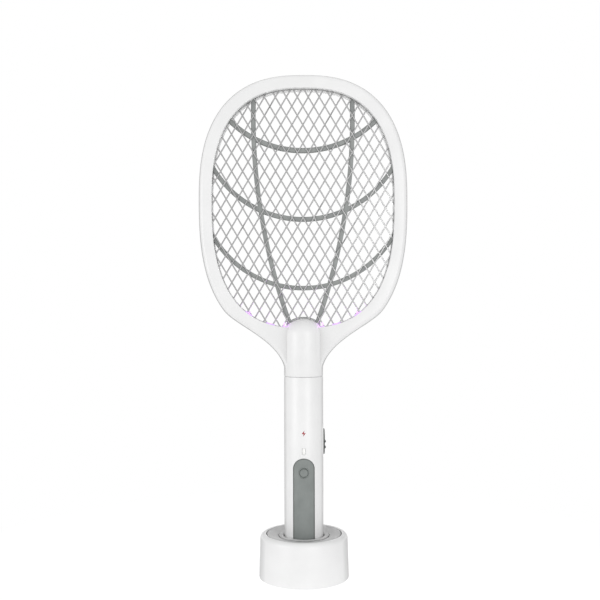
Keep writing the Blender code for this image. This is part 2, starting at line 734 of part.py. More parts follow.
def tube(name, places, radius, resolution):
    """A round tube with closed ends along a list of points."""
    curve = bpy.data.curves.new(name, "CURVE")
    curve.dimensions = "3D"
    spline = curve.splines.new("POLY")
    spline.points.add(len(places) - 1)
    for point, place in zip(spline.points, places):
        point.co = (*place, 1.0)
    curve.bevel_depth = radius
    curve.bevel_resolution = resolution
    curve.use_fill_caps = True
    made = bpy.data.objects.new(name, curve)
    bpy.context.scene.collection.objects.link(made)
    return made


def screw(name, place, length, body):
    """A pan-head screw along -Z of its placement, its head's underside at the placement."""
    profile = [(0.0, SCREW_HEAD_HEIGHT), (SCREW_HEAD_RADIUS, SCREW_HEAD_HEIGHT), (SCREW_HEAD_RADIUS, 0.0),
               (SCREW_RADIUS, 0.0), (SCREW_RADIUS, -length), (0.0, -length)]
    return piece(name, solid(turned(profile, SMALL_STEPS, place, closed=False)), "screw_steel", body)


# Handle pieces

def handle_tube():
    return turned([(HANDLE_RADIUS, HANDLE_LOW), (HANDLE_RADIUS, HANDLE_TOP), (BORE, HANDLE_TOP),
                   (BORE, HANDLE_LOW)], HANDLE_STEPS)


def switch_opening():
    """The opening for the bezel in the handle's right side."""
    outline = stadium(TRACK_LENGTH + 2 * BEZEL_RIM + 2 * FIT, TRACK_WIDTH + 2 * BEZEL_RIM + 2 * FIT, TRACK_Z)
    return prism(outline, HANDLE_RADIUS / 2, HANDLE_RADIUS * 2, "X")


def panel_shape(grow, inner, outer):
    """An arched plate wrapped on the handle's front, between two radii."""
    half = PANEL_WIDTH / 2
    spring = HANDLE_LOW + PANEL_TOP_UP - half
    low = HANDLE_LOW + PANEL_BOTTOM_UP - grow
    high = HANDLE_LOW + PANEL_TOP_UP + grow
    arch = [(-half - grow, low), (half + grow, low)]
    for i in range(ARCH_POINTS + 1):
        turn = math.pi * i / ARCH_POINTS
        arch.append(((half + grow) * math.cos(turn), spring + (half + grow) * math.sin(turn)))
    plate = solid(turned([(outer, low), (outer, high), (inner, high), (inner, low)], HANDLE_STEPS))
    keep(plate, prism(arch, -HANDLE_RADIUS * 2, -FIT))
    return taken(plate)


def button_place():
    """The button's axis: +Z of the placement runs from the middle of the handle out to the front."""
    return aimed((0.0, 0.0, BUTTON_Z), (0.0, -1.0, 0.0))


def button_hole():
    return rod(BUTTON_RADIUS + FIT, BOARD_SETBACK, HANDLE_RADIUS * 2, button_place(), steps=BUTTON_STEPS)


def bolt_outline(grow=0.0):
    """A plain lightning bolt as (x, z), about its middle."""
    half = BOLT_WIDTH / 2 + grow
    tall = BOLT_HEIGHT / 2 + grow
    upper = [(0.35 * half, tall), (-half, -0.15 * tall), (-0.05 * half, -0.15 * tall)]
    return [(x, z + HANDLE_LOW + BOLT_UP) for x, z in upper + [(-x, -z) for x, z in upper]]


def cell_icon_outline(grow=0.0):
    """An upright rounded rectangle as (x, z)."""
    half = CELL_ICON_WIDTH / 2 + grow
    tall = CELL_ICON_HEIGHT / 2 + grow
    corner = CELL_ICON_CORNER
    outline = []
    for quarter, (right, up) in enumerate(((1, 1), (-1, 1), (-1, -1), (1, -1))):
        for i in range(4):
            turn = math.pi / 2 * (quarter + i / 3)
            outline.append((right * (half - corner) + corner * math.cos(turn),
                            HANDLE_LOW + CELL_ICON_UP + up * (tall - corner) + corner * math.sin(turn)))
    return outline


def lower_screw_z():
    return HANDLE_LOW + FIT + END_CAP_THICKNESS / 2


def upper_screw_z():
    return SEAM_Z - SPIGOT_LENGTH / 2


def handle_screw_seat():
    """How far from the axis a handle screw's head sits."""
    return HANDLE_RADIUS - SCREW_HEAD_HEIGHT - FIT * 2


def handle_screw_place(z):
    return aimed((0.0, handle_screw_seat(), z), (0.0, 1.0, 0.0))


def upper_screw_hole():
    place = handle_screw_place(upper_screw_z())
    return rod(SCREW_RADIUS + FIT, -SCREW_BITE, BEYOND, place, SMALL_STEPS)


def handle_front_shell(body):
    shell = solid(handle_tube())
    keep(shell, half_space(-1))
    cut(shell, panel_shape(FIT, PANEL_SEAT, HANDLE_RADIUS + BEYOND))
    cut(shell, button_hole())
    cut(shell, prism(bolt_outline(FIT), -HANDLE_RADIUS * 2, -BOARD_SETBACK))
    cut(shell, prism(cell_icon_outline(FIT), -HANDLE_RADIUS * 2, -BOARD_SETBACK))
    cut(shell, switch_opening())
    return piece("handle_front_shell", shell, "white_abs", body)


def handle_rear_shell(body):
    shell = solid(handle_tube())
    keep(shell, half_space(1))
    cut(shell, switch_opening())
    for z in (lower_screw_z(), upper_screw_z()):
        place = handle_screw_place(z)
        cut(shell, rod(SCREW_RADIUS + FIT, -BEYOND, BEYOND, place, SMALL_STEPS))
        cut(shell, rod(SCREW_HEAD_RADIUS + FIT, -FIT, BEYOND, place, SMALL_STEPS))
    return piece("handle_rear_shell", shell, "white_abs", body)


def grip_panel(body):
    panel = solid(panel_shape(0.0, HANDLE_RADIUS - PANEL_THICKNESS, HANDLE_RADIUS))
    cut(panel, button_hole())
    return piece("grip_panel", panel, "soft_grip", body)


def end_cap(body):
    low = HANDLE_LOW + FIT
    cap = solid(rod(BORE - FIT, low, CAP_TOP, steps=HANDLE_STEPS))
    for x in (-PIN_SPREAD, PIN_SPREAD):
        place = Matrix.Translation((x, 0.0, low))
        cut(cap, rod(PAD_RADIUS + FIT, -BEYOND, PAD_THICKNESS + 2 * FIT, place))
    place = handle_screw_place(lower_screw_z())
    cut(cap, rod(SCREW_RADIUS + FIT, -SCREW_BITE - FIT, BEYOND, place, SMALL_STEPS))
    return piece("handle_end_cap", cap, "white_abs", body)


def charge_pad(name, x, body):
    place = Matrix.Translation((x, 0.0, HANDLE_LOW + 2 * FIT))
    return piece(name, solid(rod(PAD_RADIUS, 0.0, PAD_THICKNESS, place)), "gold_contact", body)


def battery(body):
    """A round cell with a rolled edge and a raised positive end."""
    shoulder = BATTERY_TOP - BATTERY_NUB_HEIGHT
    rolled = BATTERY_RADIUS - BATTERY_EDGE
    profile = [(0.0, BATTERY_TOP), (BATTERY_NUB_RADIUS, BATTERY_TOP), (BATTERY_NUB_RADIUS, shoulder),
               (rolled, shoulder), (BATTERY_RADIUS, shoulder - BATTERY_EDGE),
               (BATTERY_RADIUS, BATTERY_LOW + BATTERY_EDGE), (rolled, BATTERY_LOW), (0.0, BATTERY_LOW)]
    return piece("battery_cell", solid(turned(profile, BUTTON_STEPS, closed=False)), "cell_wrap", body)


def cradle(body):
    """A trough behind the cell, with a wall at each end."""
    back = math.pi / 2
    outer = BORE - FIT
    inner = BATTERY_RADIUS + FIT
    start = back - CRADLE_ARC
    end = back + CRADLE_ARC
    trough = arc_strip((0.0, 0.0), (outer + inner) / 2, outer - inner, start, end, CRADLE_POINTS)
    low = BATTERY_LOW - CRADLE_END - FIT
    high = BATTERY_TOP + CRADLE_END + FIT
    made = solid(prism(trough, low, high, "Z"))
    rim = outer - FIT
    wall = arc_strip((0.0, 0.0), (rim + FIT) / 2, rim - FIT, start, end, CRADLE_POINTS)
    join(made, prism(wall, low, low + CRADLE_END, "Z"), prism(wall, high - CRADLE_END, high, "Z"))
    return piece("battery_cradle", made, "black_moulding", body)


def main_board(body):
    board = box((-BOARD_HALF_WIDTH, BOARD_FRONT, BOARD_LOW), (BOARD_HALF_WIDTH, BOARD_BACK, BOARD_TOP))
    return piece("main_board", solid(board), "green_board", body)


def transformer(body):
    """A wound coil between two bobbin flanges, on the back of the board."""
    low = BOARD_LOW + COIL_FLANGE
    high = low + COIL_HEIGHT
    near = BOARD_BACK + FIT
    half = COIL_WIDTH / 2
    made = solid(box((-half, near, low), (half, near + COIL_DEPTH, low + COIL_FLANGE)))
    waist = COIL_FLANGE / 2
    join(made, box((-half, near, high - COIL_FLANGE), (half, near + COIL_DEPTH, high)))
    join(made, box((waist - half, near + waist, low + waist),
                   (half - waist, near + COIL_DEPTH - waist, high - waist)))
    return piece("hv_transformer", made, "copper", body)


def capacitor(body):
    low = BOARD_LOW + COIL_FLANGE + COIL_HEIGHT + BOARD_GAP
    near = BOARD_BACK + FIT
    left = -BOARD_HALF_WIDTH + BOARD_GAP
    block = box((left, near, low), (left + CAPACITOR_WIDTH, near + CAPACITOR_DEPTH, low + CAPACITOR_HEIGHT))
    bmesh.ops.bevel(block, geom=block.edges[:], offset=CAPACITOR_ROUND, segments=1, affect="EDGES")
    return piece("hv_capacitor", solid(block), "red_lens", body)


def indicator(name, up, body):
    """A square lamp on the board behind an indicator window."""
    half = INDICATOR_SIZE / 2
    z = HANDLE_LOW + up
    block = box((-half, BOARD_FRONT - FIT - INDICATOR_HEIGHT, z - half), (half, BOARD_FRONT - FIT, z + half))
    return piece(name, solid(block), "milk_lens", body)


def lens(name, outline, look, body):
    """A clear plug through the handle's wall, its face flush at the front."""
    made = prism(outline, -HANDLE_RADIUS, BOARD_FRONT - INDICATOR_HEIGHT - 2 * FIT)
    return piece(name, solid(made), look, body)


# Controls

def press_button(body):
    """The round button: its face follows the handle and is dished, and a flange keeps it in."""
    seat = math.sqrt(BORE ** 2 - (BUTTON_RADIUS + BUTTON_FLANGE) ** 2) - FIT
    tip = BOARD_SETBACK + FIT + TACT_HEIGHT + PLUNGER_PROUD + FIT
    flange = BUTTON_RADIUS + BUTTON_FLANGE
    outside = HANDLE_RADIUS + BEYOND
    profile = [(0.0, outside), (BUTTON_RADIUS, outside), (BUTTON_RADIUS, seat),
               (flange, seat), (flange, seat - BUTTON_FLANGE), (BUTTON_STEM, seat - BUTTON_FLANGE),
               (BUTTON_STEM, tip), (0.0, tip)]
    made = solid(turned(profile, BUTTON_STEPS, button_place(), closed=False))
    keep(made, rod(HANDLE_RADIUS, HANDLE_LOW, HANDLE_TOP, steps=HANDLE_STEPS))
    dish = []
    for share in (0.0, 0.6, 1.0):
        dish.append((BUTTON_DISH_RADIUS * share, HANDLE_RADIUS - BUTTON_DISH * (1 - share ** 2)))
    dish += [(BUTTON_DISH_RADIUS, outside), (0.0, outside)]
    cut(made, turned(dish, BUTTON_STEPS, button_place(), closed=False))
    return piece("grip_button", made, "soft_grip", body)


def tact_switch(body):
    half = TACT_SIZE / 2
    face = BOARD_FRONT - FIT - TACT_HEIGHT
    made = solid(box((-half, face, BUTTON_Z - half), (half, BOARD_FRONT - FIT, BUTTON_Z + half)))
    sink = PLUNGER_LENGTH - PLUNGER_PROUD + BUTTON_TRAVEL + FIT
    cut(made, rod(PLUNGER_RADIUS + FIT, -face - sink, HANDLE_RADIUS, button_place()))
    return piece("press_switch", made, "black_moulding", body)


def plunger(body):
    tip = BOARD_SETBACK + FIT + TACT_HEIGHT + PLUNGER_PROUD
    made = rod(PLUNGER_RADIUS, tip - PLUNGER_LENGTH, tip, button_place())
    return piece("press_switch_plunger", solid(made), "black_moulding", body)


def switch_bezel(body):
    """The raised white surround with the track that the cap slides in."""
    back = BEZEL_FACE - BEZEL_DEPTH
    outline = stadium(TRACK_LENGTH + 2 * BEZEL_RIM, TRACK_WIDTH + 2 * BEZEL_RIM, TRACK_Z)
    shape = prism(outline, back, BEZEL_FACE, "X")
    front = [edge for edge in shape.edges if all(vert.co.x > BEZEL_FACE - FIT / 2 for vert in edge.verts)]
    bmesh.ops.bevel(shape, geom=front, offset=BEZEL_ROUND, segments=2, profile=0.5, affect="EDGES")
    bezel = solid(shape)
    cut(bezel, prism(stadium(TRACK_LENGTH, TRACK_WIDTH, TRACK_Z), TRACK_FACE, HANDLE_RADIUS * 2, "X"))
    slot_half = STEM_WIDTH / 2 + FIT
    slot_low = SWITCH_Z - STEM_LENGTH / 2 - FIT
    slot_high = SWITCH_Z + STEM_LENGTH / 2 + SWITCH_TRAVEL + FIT
    cut(bezel, box((0.0, -slot_half, slot_low), (HANDLE_RADIUS * 2, slot_half, slot_high)))
    return piece("switch_bezel", bezel, "white_abs", body)


def switch_cap(body):
    """The sliding thumb piece: a rounded bar with two grip ridges and a stem."""
    low = TRACK_FACE + FIT
    face = HANDLE_RADIUS + CAP_PROUD
    shape = prism(stadium(CAP_LENGTH, CAP_WIDTH, SWITCH_Z), low, face, "X")
    front = [edge for edge in shape.edges if all(vert.co.x > face - FIT / 2 for vert in edge.verts)]
    bmesh.ops.bevel(shape, geom=front, offset=CAP_ROUND, segments=2, profile=0.5, affect="EDGES")
    cap = solid(shape)
    for drop in CAP_RIDGE_DROPS:
        z = SWITCH_Z - drop
        half = CAP_RIDGE_WIDTH / 2
        ridge = [(low + FIT, z - half), (face, z - half), (face + CAP_RIDGE, z - half / 3),
                 (face + CAP_RIDGE, z + half / 3), (face, z + half), (low + FIT, z + half)]
        join(cap, prism(ridge, -CAP_RIDGE_LENGTH / 2, CAP_RIDGE_LENGTH / 2))
    stem_half = STEM_WIDTH / 2
    join(cap, box((LEVER_TIP + FIT, -stem_half, SWITCH_Z - STEM_LENGTH / 2),
                  (low + FIT, stem_half, SWITCH_Z + STEM_LENGTH / 2)))
    return piece("switch_cap", cap, "grey_abs", body)


def switch_lever(body):
    half = STEM_WIDTH / 2
    made = box((SLIDER_FACE - LEVER_SINK, -half, SWITCH_Z - STEM_LENGTH / 2),
               (LEVER_TIP, half, SWITCH_Z + STEM_LENGTH / 2))
    return piece("switch_lever", solid(made), "black_moulding", body)


def slide_switch(body):
    """The switch on the back of the board, with the slot that its lever slides in."""
    near = BOARD_BACK + FIT
    half = STEM_WIDTH / 2 + FIT
    low = SWITCH_Z - STEM_LENGTH / 2 - FIT
    high = SWITCH_Z + STEM_LENGTH / 2 + SWITCH_TRAVEL + FIT
    made = solid(box((SLIDER_FACE - SLIDER_WIDTH, near, low - SLIDER_END),
                     (SLIDER_FACE, near + SLIDER_DEPTH, high + SLIDER_END)))
    cut(made, box((SLIDER_FACE - LEVER_SINK - FIT, -half, low), (HANDLE_RADIUS, half, high)))
    return piece("slide_switch", made, "screw_steel", body)


# Dock pieces

def base_inner(z):
    """The radius inside the dock's tapered wall at a height."""
    share = (z - BASE_LIFT) / (BASE_HEIGHT - RIM_ROUND - BASE_LIFT)
    return BASE_RADIUS + (BASE_TOP_RADIUS - BASE_RADIUS) * share - BASE_WALL


def base_screw_radius():
    """How far from the axis the dock's screws sit: under the middle of the rubber ring."""
    return BASE_RADIUS - BASE_WALL - FOOT_INSET - FOOT_WIDTH / 2


def base_screw_place(turn):
    radius = base_screw_radius()
    seat = BOTTOM_LOW + FOOT_SINK + SCREW_HEAD_HEIGHT + FIT
    return aimed((radius * math.cos(turn), radius * math.sin(turn), seat), (0.0, 0.0, -1.0))


def inlet_height():
    """The height of the charging inlet's middle."""
    return DOCK_BOARD_TOP + FIT + INLET_HEIGHT / 2


def inlet_mouth():
    return base_inner(inlet_height()) + BASE_WALL - INLET_SINK


def base_shell(body):
    """The dock's tapered cup: a turned wall with a rounded rim and a ledge for the top plate."""
    centre = (BASE_TOP_RADIUS - RIM_ROUND, BASE_HEIGHT - RIM_ROUND)
    profile = [(BASE_RADIUS, BASE_LIFT)]
    for i in range(RIM_STEPS + 1):
        turn = math.pi / 2 * i / RIM_STEPS
        profile.append((centre[0] + RIM_ROUND * math.cos(turn), centre[1] + RIM_ROUND * math.sin(turn)))
    seat = PLATE_RADIUS + FIT
    ledge_top = PLATE_TOP - PLATE_THICKNESS - FIT
    ledge_low = ledge_top - LEDGE
    profile += [(seat, PLATE_TOP + FIT), (seat, ledge_top), (seat - LEDGE, ledge_top),
                (seat - LEDGE, ledge_low), (base_inner(ledge_low), ledge_low),
                (BASE_RADIUS - BASE_WALL, BASE_LIFT)]
    shell = solid(turned(profile, BASE_STEPS))
    radius = base_screw_radius()
    column = SCREW_RADIUS + BOSS_WALL
    for turn in BASE_SCREW_TURNS:
        place = Matrix.Translation((radius * math.cos(turn), radius * math.sin(turn), 0.0))
        join(shell, rod(column, BOTTOM_TOP + FIT, ledge_low + LEDGE / 2, place, SMALL_STEPS))
        web = box((radius, -column / 2, BOTTOM_TOP + FIT),
                  (BASE_TOP_RADIUS - BASE_WALL / 2, column / 2, ledge_low))
        web.transform(Matrix.Rotation(turn, 4, "Z"))
        join(shell, web)
        cut(shell, rod(SCREW_RADIUS + FIT, 0.0, BOTTOM_TOP + SCREW_BITE + FIT, place, SMALL_STEPS))
    plug = stadium(INLET_WIDTH + 2 * PLUG_MARGIN, INLET_HEIGHT + 2 * PLUG_MARGIN, 0.0)
    opening = prism([(along, across + inlet_height()) for across, along in plug],
                    inlet_mouth() - BASE_WALL, BASE_RADIUS * 2)
    cut(shell, opening)
    return piece("base_shell", shell, "white_abs", body)


def base_top_plate(body):
    """The recessed plate with its raised collar and the well that holds the handle."""
    collar = WELL_RADIUS + COLLAR_WIDTH
    well_outer = WELL_RADIUS + WELL_WALL
    crown = PLATE_TOP + COLLAR_RISE
    profile = [(0.0, FLOOR_TOP), (WELL_RADIUS, FLOOR_TOP), (WELL_RADIUS, crown - COLLAR_SLOPE),
               (WELL_RADIUS + COLLAR_SLOPE, crown), (collar - COLLAR_RISE, crown), (collar, PLATE_TOP),
               (PLATE_RADIUS, PLATE_TOP), (PLATE_RADIUS, PLATE_TOP - PLATE_THICKNESS),
               (well_outer, PLATE_TOP - PLATE_THICKNESS), (well_outer, FLOOR_LOW), (0.0, FLOOR_LOW)]
    plate = solid(turned(profile, BASE_STEPS, closed=False))
    for x in (-PIN_SPREAD, PIN_SPREAD):
        place = Matrix.Translation((x, 0.0, 0.0))
        cut(plate, rod(PIN_RADIUS + PIN_PLAY, FLOOR_LOW - BEYOND, FLOOR_TOP + BEYOND, place, SMALL_STEPS))
    return piece("base_top_plate", plate, "pale_grey_abs", body)


def foot_radii():
    outer = BASE_RADIUS - BASE_WALL - FOOT_INSET
    return outer - FOOT_WIDTH, outer


def base_bottom_plate(body):
    """The floor of the dock, with a groove for the rubber ring and posts for the board."""
    inner, outer = foot_radii()
    rim = BASE_RADIUS - BASE_WALL - 2 * FIT
    groove = BOTTOM_LOW + FOOT_SINK
    profile = [(0.0, BOTTOM_TOP), (rim, BOTTOM_TOP), (rim, BOTTOM_LOW), (outer + FIT, BOTTOM_LOW),
               (outer + FIT, groove), (inner - FIT, groove), (inner - FIT, BOTTOM_LOW), (0.0, BOTTOM_LOW)]
    plate = solid(turned(profile, BASE_STEPS, closed=False))
    for turn in BASE_SCREW_TURNS:
        place = base_screw_place(turn)
        cut(plate, rod(SCREW_RADIUS + FIT, -BEYOND, BEYOND, place, SMALL_STEPS))
        cut(plate, rod(SCREW_HEAD_RADIUS + FIT, -FIT, BEYOND, place, SMALL_STEPS))
    across = DOCK_BOARD_WIDTH / 2 - 2 * POST_RADIUS
    for x in (-across, across):
        for y in (-DOCK_BOARD_FRONT + 2 * POST_RADIUS, dock_board_rear() - 4 * POST_RADIUS):
            place = Matrix.Translation((x, y, 0.0))
            middle = BOTTOM_TOP - BOTTOM_THICKNESS / 2
            join(plate, rod(POST_RADIUS, middle, BOTTOM_TOP + BOTTOM_POST, place, SMALL_STEPS))
    return piece("base_bottom_plate", plate, "white_abs", body)


def foot_ring(body):
    inner, outer = foot_radii()
    top = BOTTOM_LOW + FOOT_SINK - FIT
    ring = turned([(inner, 0.0), (inner, top), (outer, top), (outer, 0.0)], BASE_STEPS)
    return piece("base_foot_ring", solid(ring), "rubber", body)


def dock_board_rear():
    """The board's rear edge, under the inner end of the inlet."""
    return inlet_mouth() - INLET_LENGTH + INLET_ON_BOARD


def dock_board(body):
    half = DOCK_BOARD_WIDTH / 2
    board = box((-half, -DOCK_BOARD_FRONT, DOCK_BOARD_LOW), (half, dock_board_rear(), DOCK_BOARD_TOP))
    return piece("dock_board", solid(board), "green_board", body)


def charging_inlet(body):
    """A rounded metal socket with a contact tongue, open to the rear."""
    mouth = inlet_mouth()
    back = mouth - INLET_LENGTH

    def outline(inset):
        flat = stadium(INLET_WIDTH - 2 * inset, INLET_HEIGHT - 2 * inset, 0.0)
        return [(along, across + inlet_height()) for across, along in flat]

    socket = solid(prism(outline(0.0), back, mouth))
    cut(socket, prism(outline(INLET_WALL), back + INLET_WALL * 2, mouth + BEYOND))
    half = INLET_WIDTH / 2 - INLET_HEIGHT / 2
    join(socket, box((-half, back + INLET_WALL, inlet_height() - INLET_TONGUE / 2),
                     (half, mouth - INLET_WALL * 3, inlet_height() + INLET_TONGUE / 2)))
    return piece("charging_inlet", socket, "screw_steel", body)


def pin_collar_top():
    return PIN_BLOCK_TOP - PIN_COLLAR_DROP


def pin_block(body):
    half = PIN_SPREAD + PIN_COLLAR_RADIUS + PIN_PLAY + PIN_BLOCK_WALL
    block = solid(box((-half, -PIN_BLOCK_DEPTH / 2, PIN_BLOCK_LOW),
                      (half, PIN_BLOCK_DEPTH / 2, PIN_BLOCK_TOP)))
    for x in (-PIN_SPREAD, PIN_SPREAD):
        place = Matrix.Translation((x, 0.0, 0.0))
        cut(block, rod(PIN_COLLAR_RADIUS + PIN_PLAY, PIN_BLOCK_LOW + PIN_BLOCK_FLOOR, FLOOR_TOP, place))
    return piece("contact_block", block, "black_moulding", body)


def contact_pin(name, x, body):
    """A sprung pin with a collar and a rounded tip, just under the handle's pad at rest."""
    top = pin_collar_top()
    tip = HANDLE_LOW + FIT
    profile = [(0.0, tip), (PIN_TIP_RADIUS, tip), (PIN_RADIUS, tip - PIN_TIP_HEIGHT), (PIN_RADIUS, top),
               (PIN_COLLAR_RADIUS, top), (PIN_COLLAR_RADIUS, top - PIN_COLLAR_HEIGHT),
               (0.0, top - PIN_COLLAR_HEIGHT)]
    place = Matrix.Translation((x, 0.0, 0.0))
    return piece(name, solid(turned(profile, SMALL_STEPS, place, closed=False)), "gold_contact", body)


def spring_ends():
    """The heights of the spring wire's middle at its two ends."""
    low = PIN_BLOCK_LOW + PIN_BLOCK_FLOOR + FIT + SPRING_WIRE
    high = pin_collar_top() - PIN_COLLAR_HEIGHT - FIT - SPRING_WIRE
    return low, high


def pin_spring(name, x, body):
    """A coil spring under a pin's collar, whose least gap between turns is printed."""
    low, high = spring_ends()
    radius = PIN_COLLAR_RADIUS - SPRING_WIRE
    count = round(SPRING_TURNS * SPRING_POINTS)
    places = []
    for i in range(count + 1):
        turn = math.tau * i / SPRING_POINTS
        rise = low + (high - low) * i / count
        places.append(Vector((x + radius * math.cos(turn), radius * math.sin(turn), rise)))
    least = min((places[i] - places[j]).length for i in range(count + 1)
                for j in range(i + SPRING_POINTS // 2 + 1, count + 1)) - 2 * SPRING_WIRE
    print(name, "least gap between turns:", round(least / MM, 2), "mm")
    return piece(name, tube(name, places, SPRING_WIRE, 0), "screw_steel", body)


# Assembly

dock = body_empty("dock", (0.0, 0.0, 0.0))
swatter = body_empty("swatter", (0.0, 0.0, HANDLE_LOW))
trigger = body_empty("trigger", (0.0, -HANDLE_RADIUS, BUTTON_Z))
mode_switch = body_empty("mode_switch", (HANDLE_RADIUS, 0.0, SWITCH_Z))
pin_left = body_empty("pin_left", (-PIN_SPREAD, 0.0, HANDLE_LOW))
pin_right = body_empty("pin_right", (PIN_SPREAD, 0.0, HANDLE_LOW))
for moving in (trigger, mode_switch):
    moving.parent = swatter
    moving.matrix_parent_inverse = swatter.matrix_world.inverted()
for moving in (swatter, pin_left, pin_right):
    moving.parent = dock
bpy.context.view_layer.update()

head_frame("head_front_frame", -1, swatter)
head_frame("head_rear_frame", 1, swatter)
net("front_net", -OUTER_NET_Y, 1, swatter)
net("centre_net", 0.0, CENTRE_NET_STEP, swatter)
net("rear_net", OUTER_NET_Y, 1, swatter)
rib_grid("front_rib_grid", -1, swatter)
rib_grid("rear_rib_grid", 1, swatter)
lamp_strip("lamp_strip", swatter)
for number, (lamp_x, lamp_length) in enumerate(LAMPS, start=1):
    lamp(f"violet_lamp_{number}", lamp_x, lamp_length, swatter)
screw_seat = HEAD_HALF_DEPTH - SCREW_HEAD_HEIGHT - FIT
for number, (screw_x, screw_z) in enumerate(screw_places(), start=1):
    screw(f"head_screw_{number}", aimed((screw_x, screw_seat, screw_z), (0.0, 1.0, 0.0)),
          screw_seat + SCREW_BITE, swatter)

net_low = WINDOW_LOW - NET_BORDER - FIT
board_y = (BOARD_FRONT + BOARD_BACK) / 2
lead_routes = (
    ("front_net_lead", -LEAD_SPREAD, -OUTER_NET_Y, "black_lead"),
    ("centre_net_lead", LEAD_SPREAD, 0.0, "red_lead"),
    ("rear_net_lead", 0.0, OUTER_NET_Y, "black_lead"),
)
lower_bend, upper_bend = (BOARD_TOP + (net_low - BOARD_TOP) * share for share in LEAD_BENDS)
for lead_name, lead_x, net_y, lead_look in lead_routes:
    lead(lead_name, [(lead_x, board_y, BOARD_TOP + FIT), (lead_x, board_y, lower_bend),
                     (lead_x, net_y, upper_bend), (lead_x, net_y, net_low)], lead_look, swatter)

handle_front_shell(swatter)
handle_rear_shell(swatter)
grip_panel(swatter)
end_cap(swatter)
charge_pad("charge_pad_left", -PIN_SPREAD, swatter)
charge_pad("charge_pad_right", PIN_SPREAD, swatter)
battery(swatter)
cradle(swatter)
main_board(swatter)
transformer(swatter)
capacitor(swatter)
tact_switch(swatter)
slide_switch(swatter)
switch_bezel(swatter)
indicator("charge_lamp", BOLT_UP, swatter)
indicator("cell_lamp", CELL_ICON_UP, swatter)
lens("charge_lens", bolt_outline(), "red_lens", swatter)
lens("cell_lens", cell_icon_outline(), "milk_lens", swatter)
handle_screw_reach = HANDLE_WALL + SPIGOT_WALL
screw("handle_screw_lower", handle_screw_place(lower_screw_z()), SCREW_BITE, swatter)
screw("handle_screw_upper", handle_screw_place(upper_screw_z()), handle_screw_reach, swatter)

press_button(trigger)
plunger(trigger)
switch_cap(mode_switch)
switch_lever(mode_switch)

base_shell(dock)
base_top_plate(dock)
base_bottom_plate(dock)
foot_ring(dock)
dock_board(dock)
charging_inlet(dock)
pin_block(dock)
for number, base_turn in enumerate(BASE_SCREW_TURNS, start=1):
    screw(f"base_screw_{number}", base_screw_place(base_turn), BOTTOM_THICKNESS, dock)
contact_pin("contact_pin_left", -PIN_SPREAD, pin_left)
contact_pin("contact_pin_right", PIN_SPREAD, pin_right)
pin_spring("pin_spring_left", -PIN_SPREAD, pin_left)
pin_spring("pin_spring_right", PIN_SPREAD, pin_right)
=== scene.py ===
# %% [markdown]
# # An electric fly swatter standing in its charging dock
# The object has an egg-shaped head with three metal nets, a round handle with a button and a slide switch,
# and a dock with sprung charging pins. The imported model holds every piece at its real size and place.
# Loading it first means that each new piece is modelled where its packed twin already is, with no fitting.

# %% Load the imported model
import math

import bpy
from mathutils import Matrix, Vector


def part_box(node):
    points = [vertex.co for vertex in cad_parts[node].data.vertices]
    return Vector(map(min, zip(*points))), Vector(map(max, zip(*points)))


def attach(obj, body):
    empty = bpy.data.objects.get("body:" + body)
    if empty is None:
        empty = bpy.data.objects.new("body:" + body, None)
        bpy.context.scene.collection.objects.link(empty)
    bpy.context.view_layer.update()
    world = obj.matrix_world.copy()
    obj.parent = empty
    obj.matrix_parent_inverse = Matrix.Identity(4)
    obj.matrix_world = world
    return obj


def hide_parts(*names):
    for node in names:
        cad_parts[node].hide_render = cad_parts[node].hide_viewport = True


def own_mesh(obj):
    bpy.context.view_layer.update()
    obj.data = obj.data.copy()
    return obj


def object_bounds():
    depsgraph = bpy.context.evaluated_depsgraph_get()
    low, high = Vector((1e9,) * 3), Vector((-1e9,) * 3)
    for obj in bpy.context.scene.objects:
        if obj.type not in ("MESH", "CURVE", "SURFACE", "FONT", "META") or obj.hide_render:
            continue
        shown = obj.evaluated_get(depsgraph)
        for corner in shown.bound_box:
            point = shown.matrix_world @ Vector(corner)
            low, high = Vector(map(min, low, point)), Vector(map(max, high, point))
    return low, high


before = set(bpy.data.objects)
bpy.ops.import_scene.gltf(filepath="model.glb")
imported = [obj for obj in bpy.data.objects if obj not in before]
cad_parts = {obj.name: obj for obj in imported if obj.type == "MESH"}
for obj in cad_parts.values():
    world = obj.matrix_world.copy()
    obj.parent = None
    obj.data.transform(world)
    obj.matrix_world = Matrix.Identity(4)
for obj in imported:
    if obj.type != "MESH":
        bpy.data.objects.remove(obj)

MM = 0.001
scene = bpy.context.scene
cad_low, cad_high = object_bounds()
print("packed nodes:", len(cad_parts), "size in mm:", [round(side / MM, 1) for side in cad_high - cad_low])

# %% [markdown]
# ## Camera
# The picture is taken level, from straight in front, at about the height of the neck: the dock's rim and well
# still show a little of their tops. A camera that is moved up or down, and never tilted, keeps the handle's
# edges parallel, which is why the height is set by moving it. It only rolls by a sixth of a degree, as a
# camera does that is held by hand.

# %% Set up the camera
CAMERA_PLACE = (-3.4 * MM, -923.0 * MM, 283.6 * MM)
CAMERA_LENS = 54.0
CAMERA_ROLL = math.radians(0.16)

bpy.ops.object.select_all(action="DESELECT")
bpy.ops.object.camera_add(location=CAMERA_PLACE, rotation=(math.radians(90.0), CAMERA_ROLL, 0.0))
camera = bpy.context.object
camera.name = "front_camera"
camera.data.lens = CAMERA_LENS
scene.camera = camera
print("camera distance in mm:", round(-camera.location.y / MM))

# %% [markdown]
# ## Shader nodes
# Every finish below is a small tree of shader nodes. Adding a node, filling its inputs and linking it takes
# several lines each time, so one function does it for all kinds and hands back the output to go on with. A
# name in capitals is an input, and a name in small letters is a property of the node. Colours are written as
# they look on a screen and made linear.

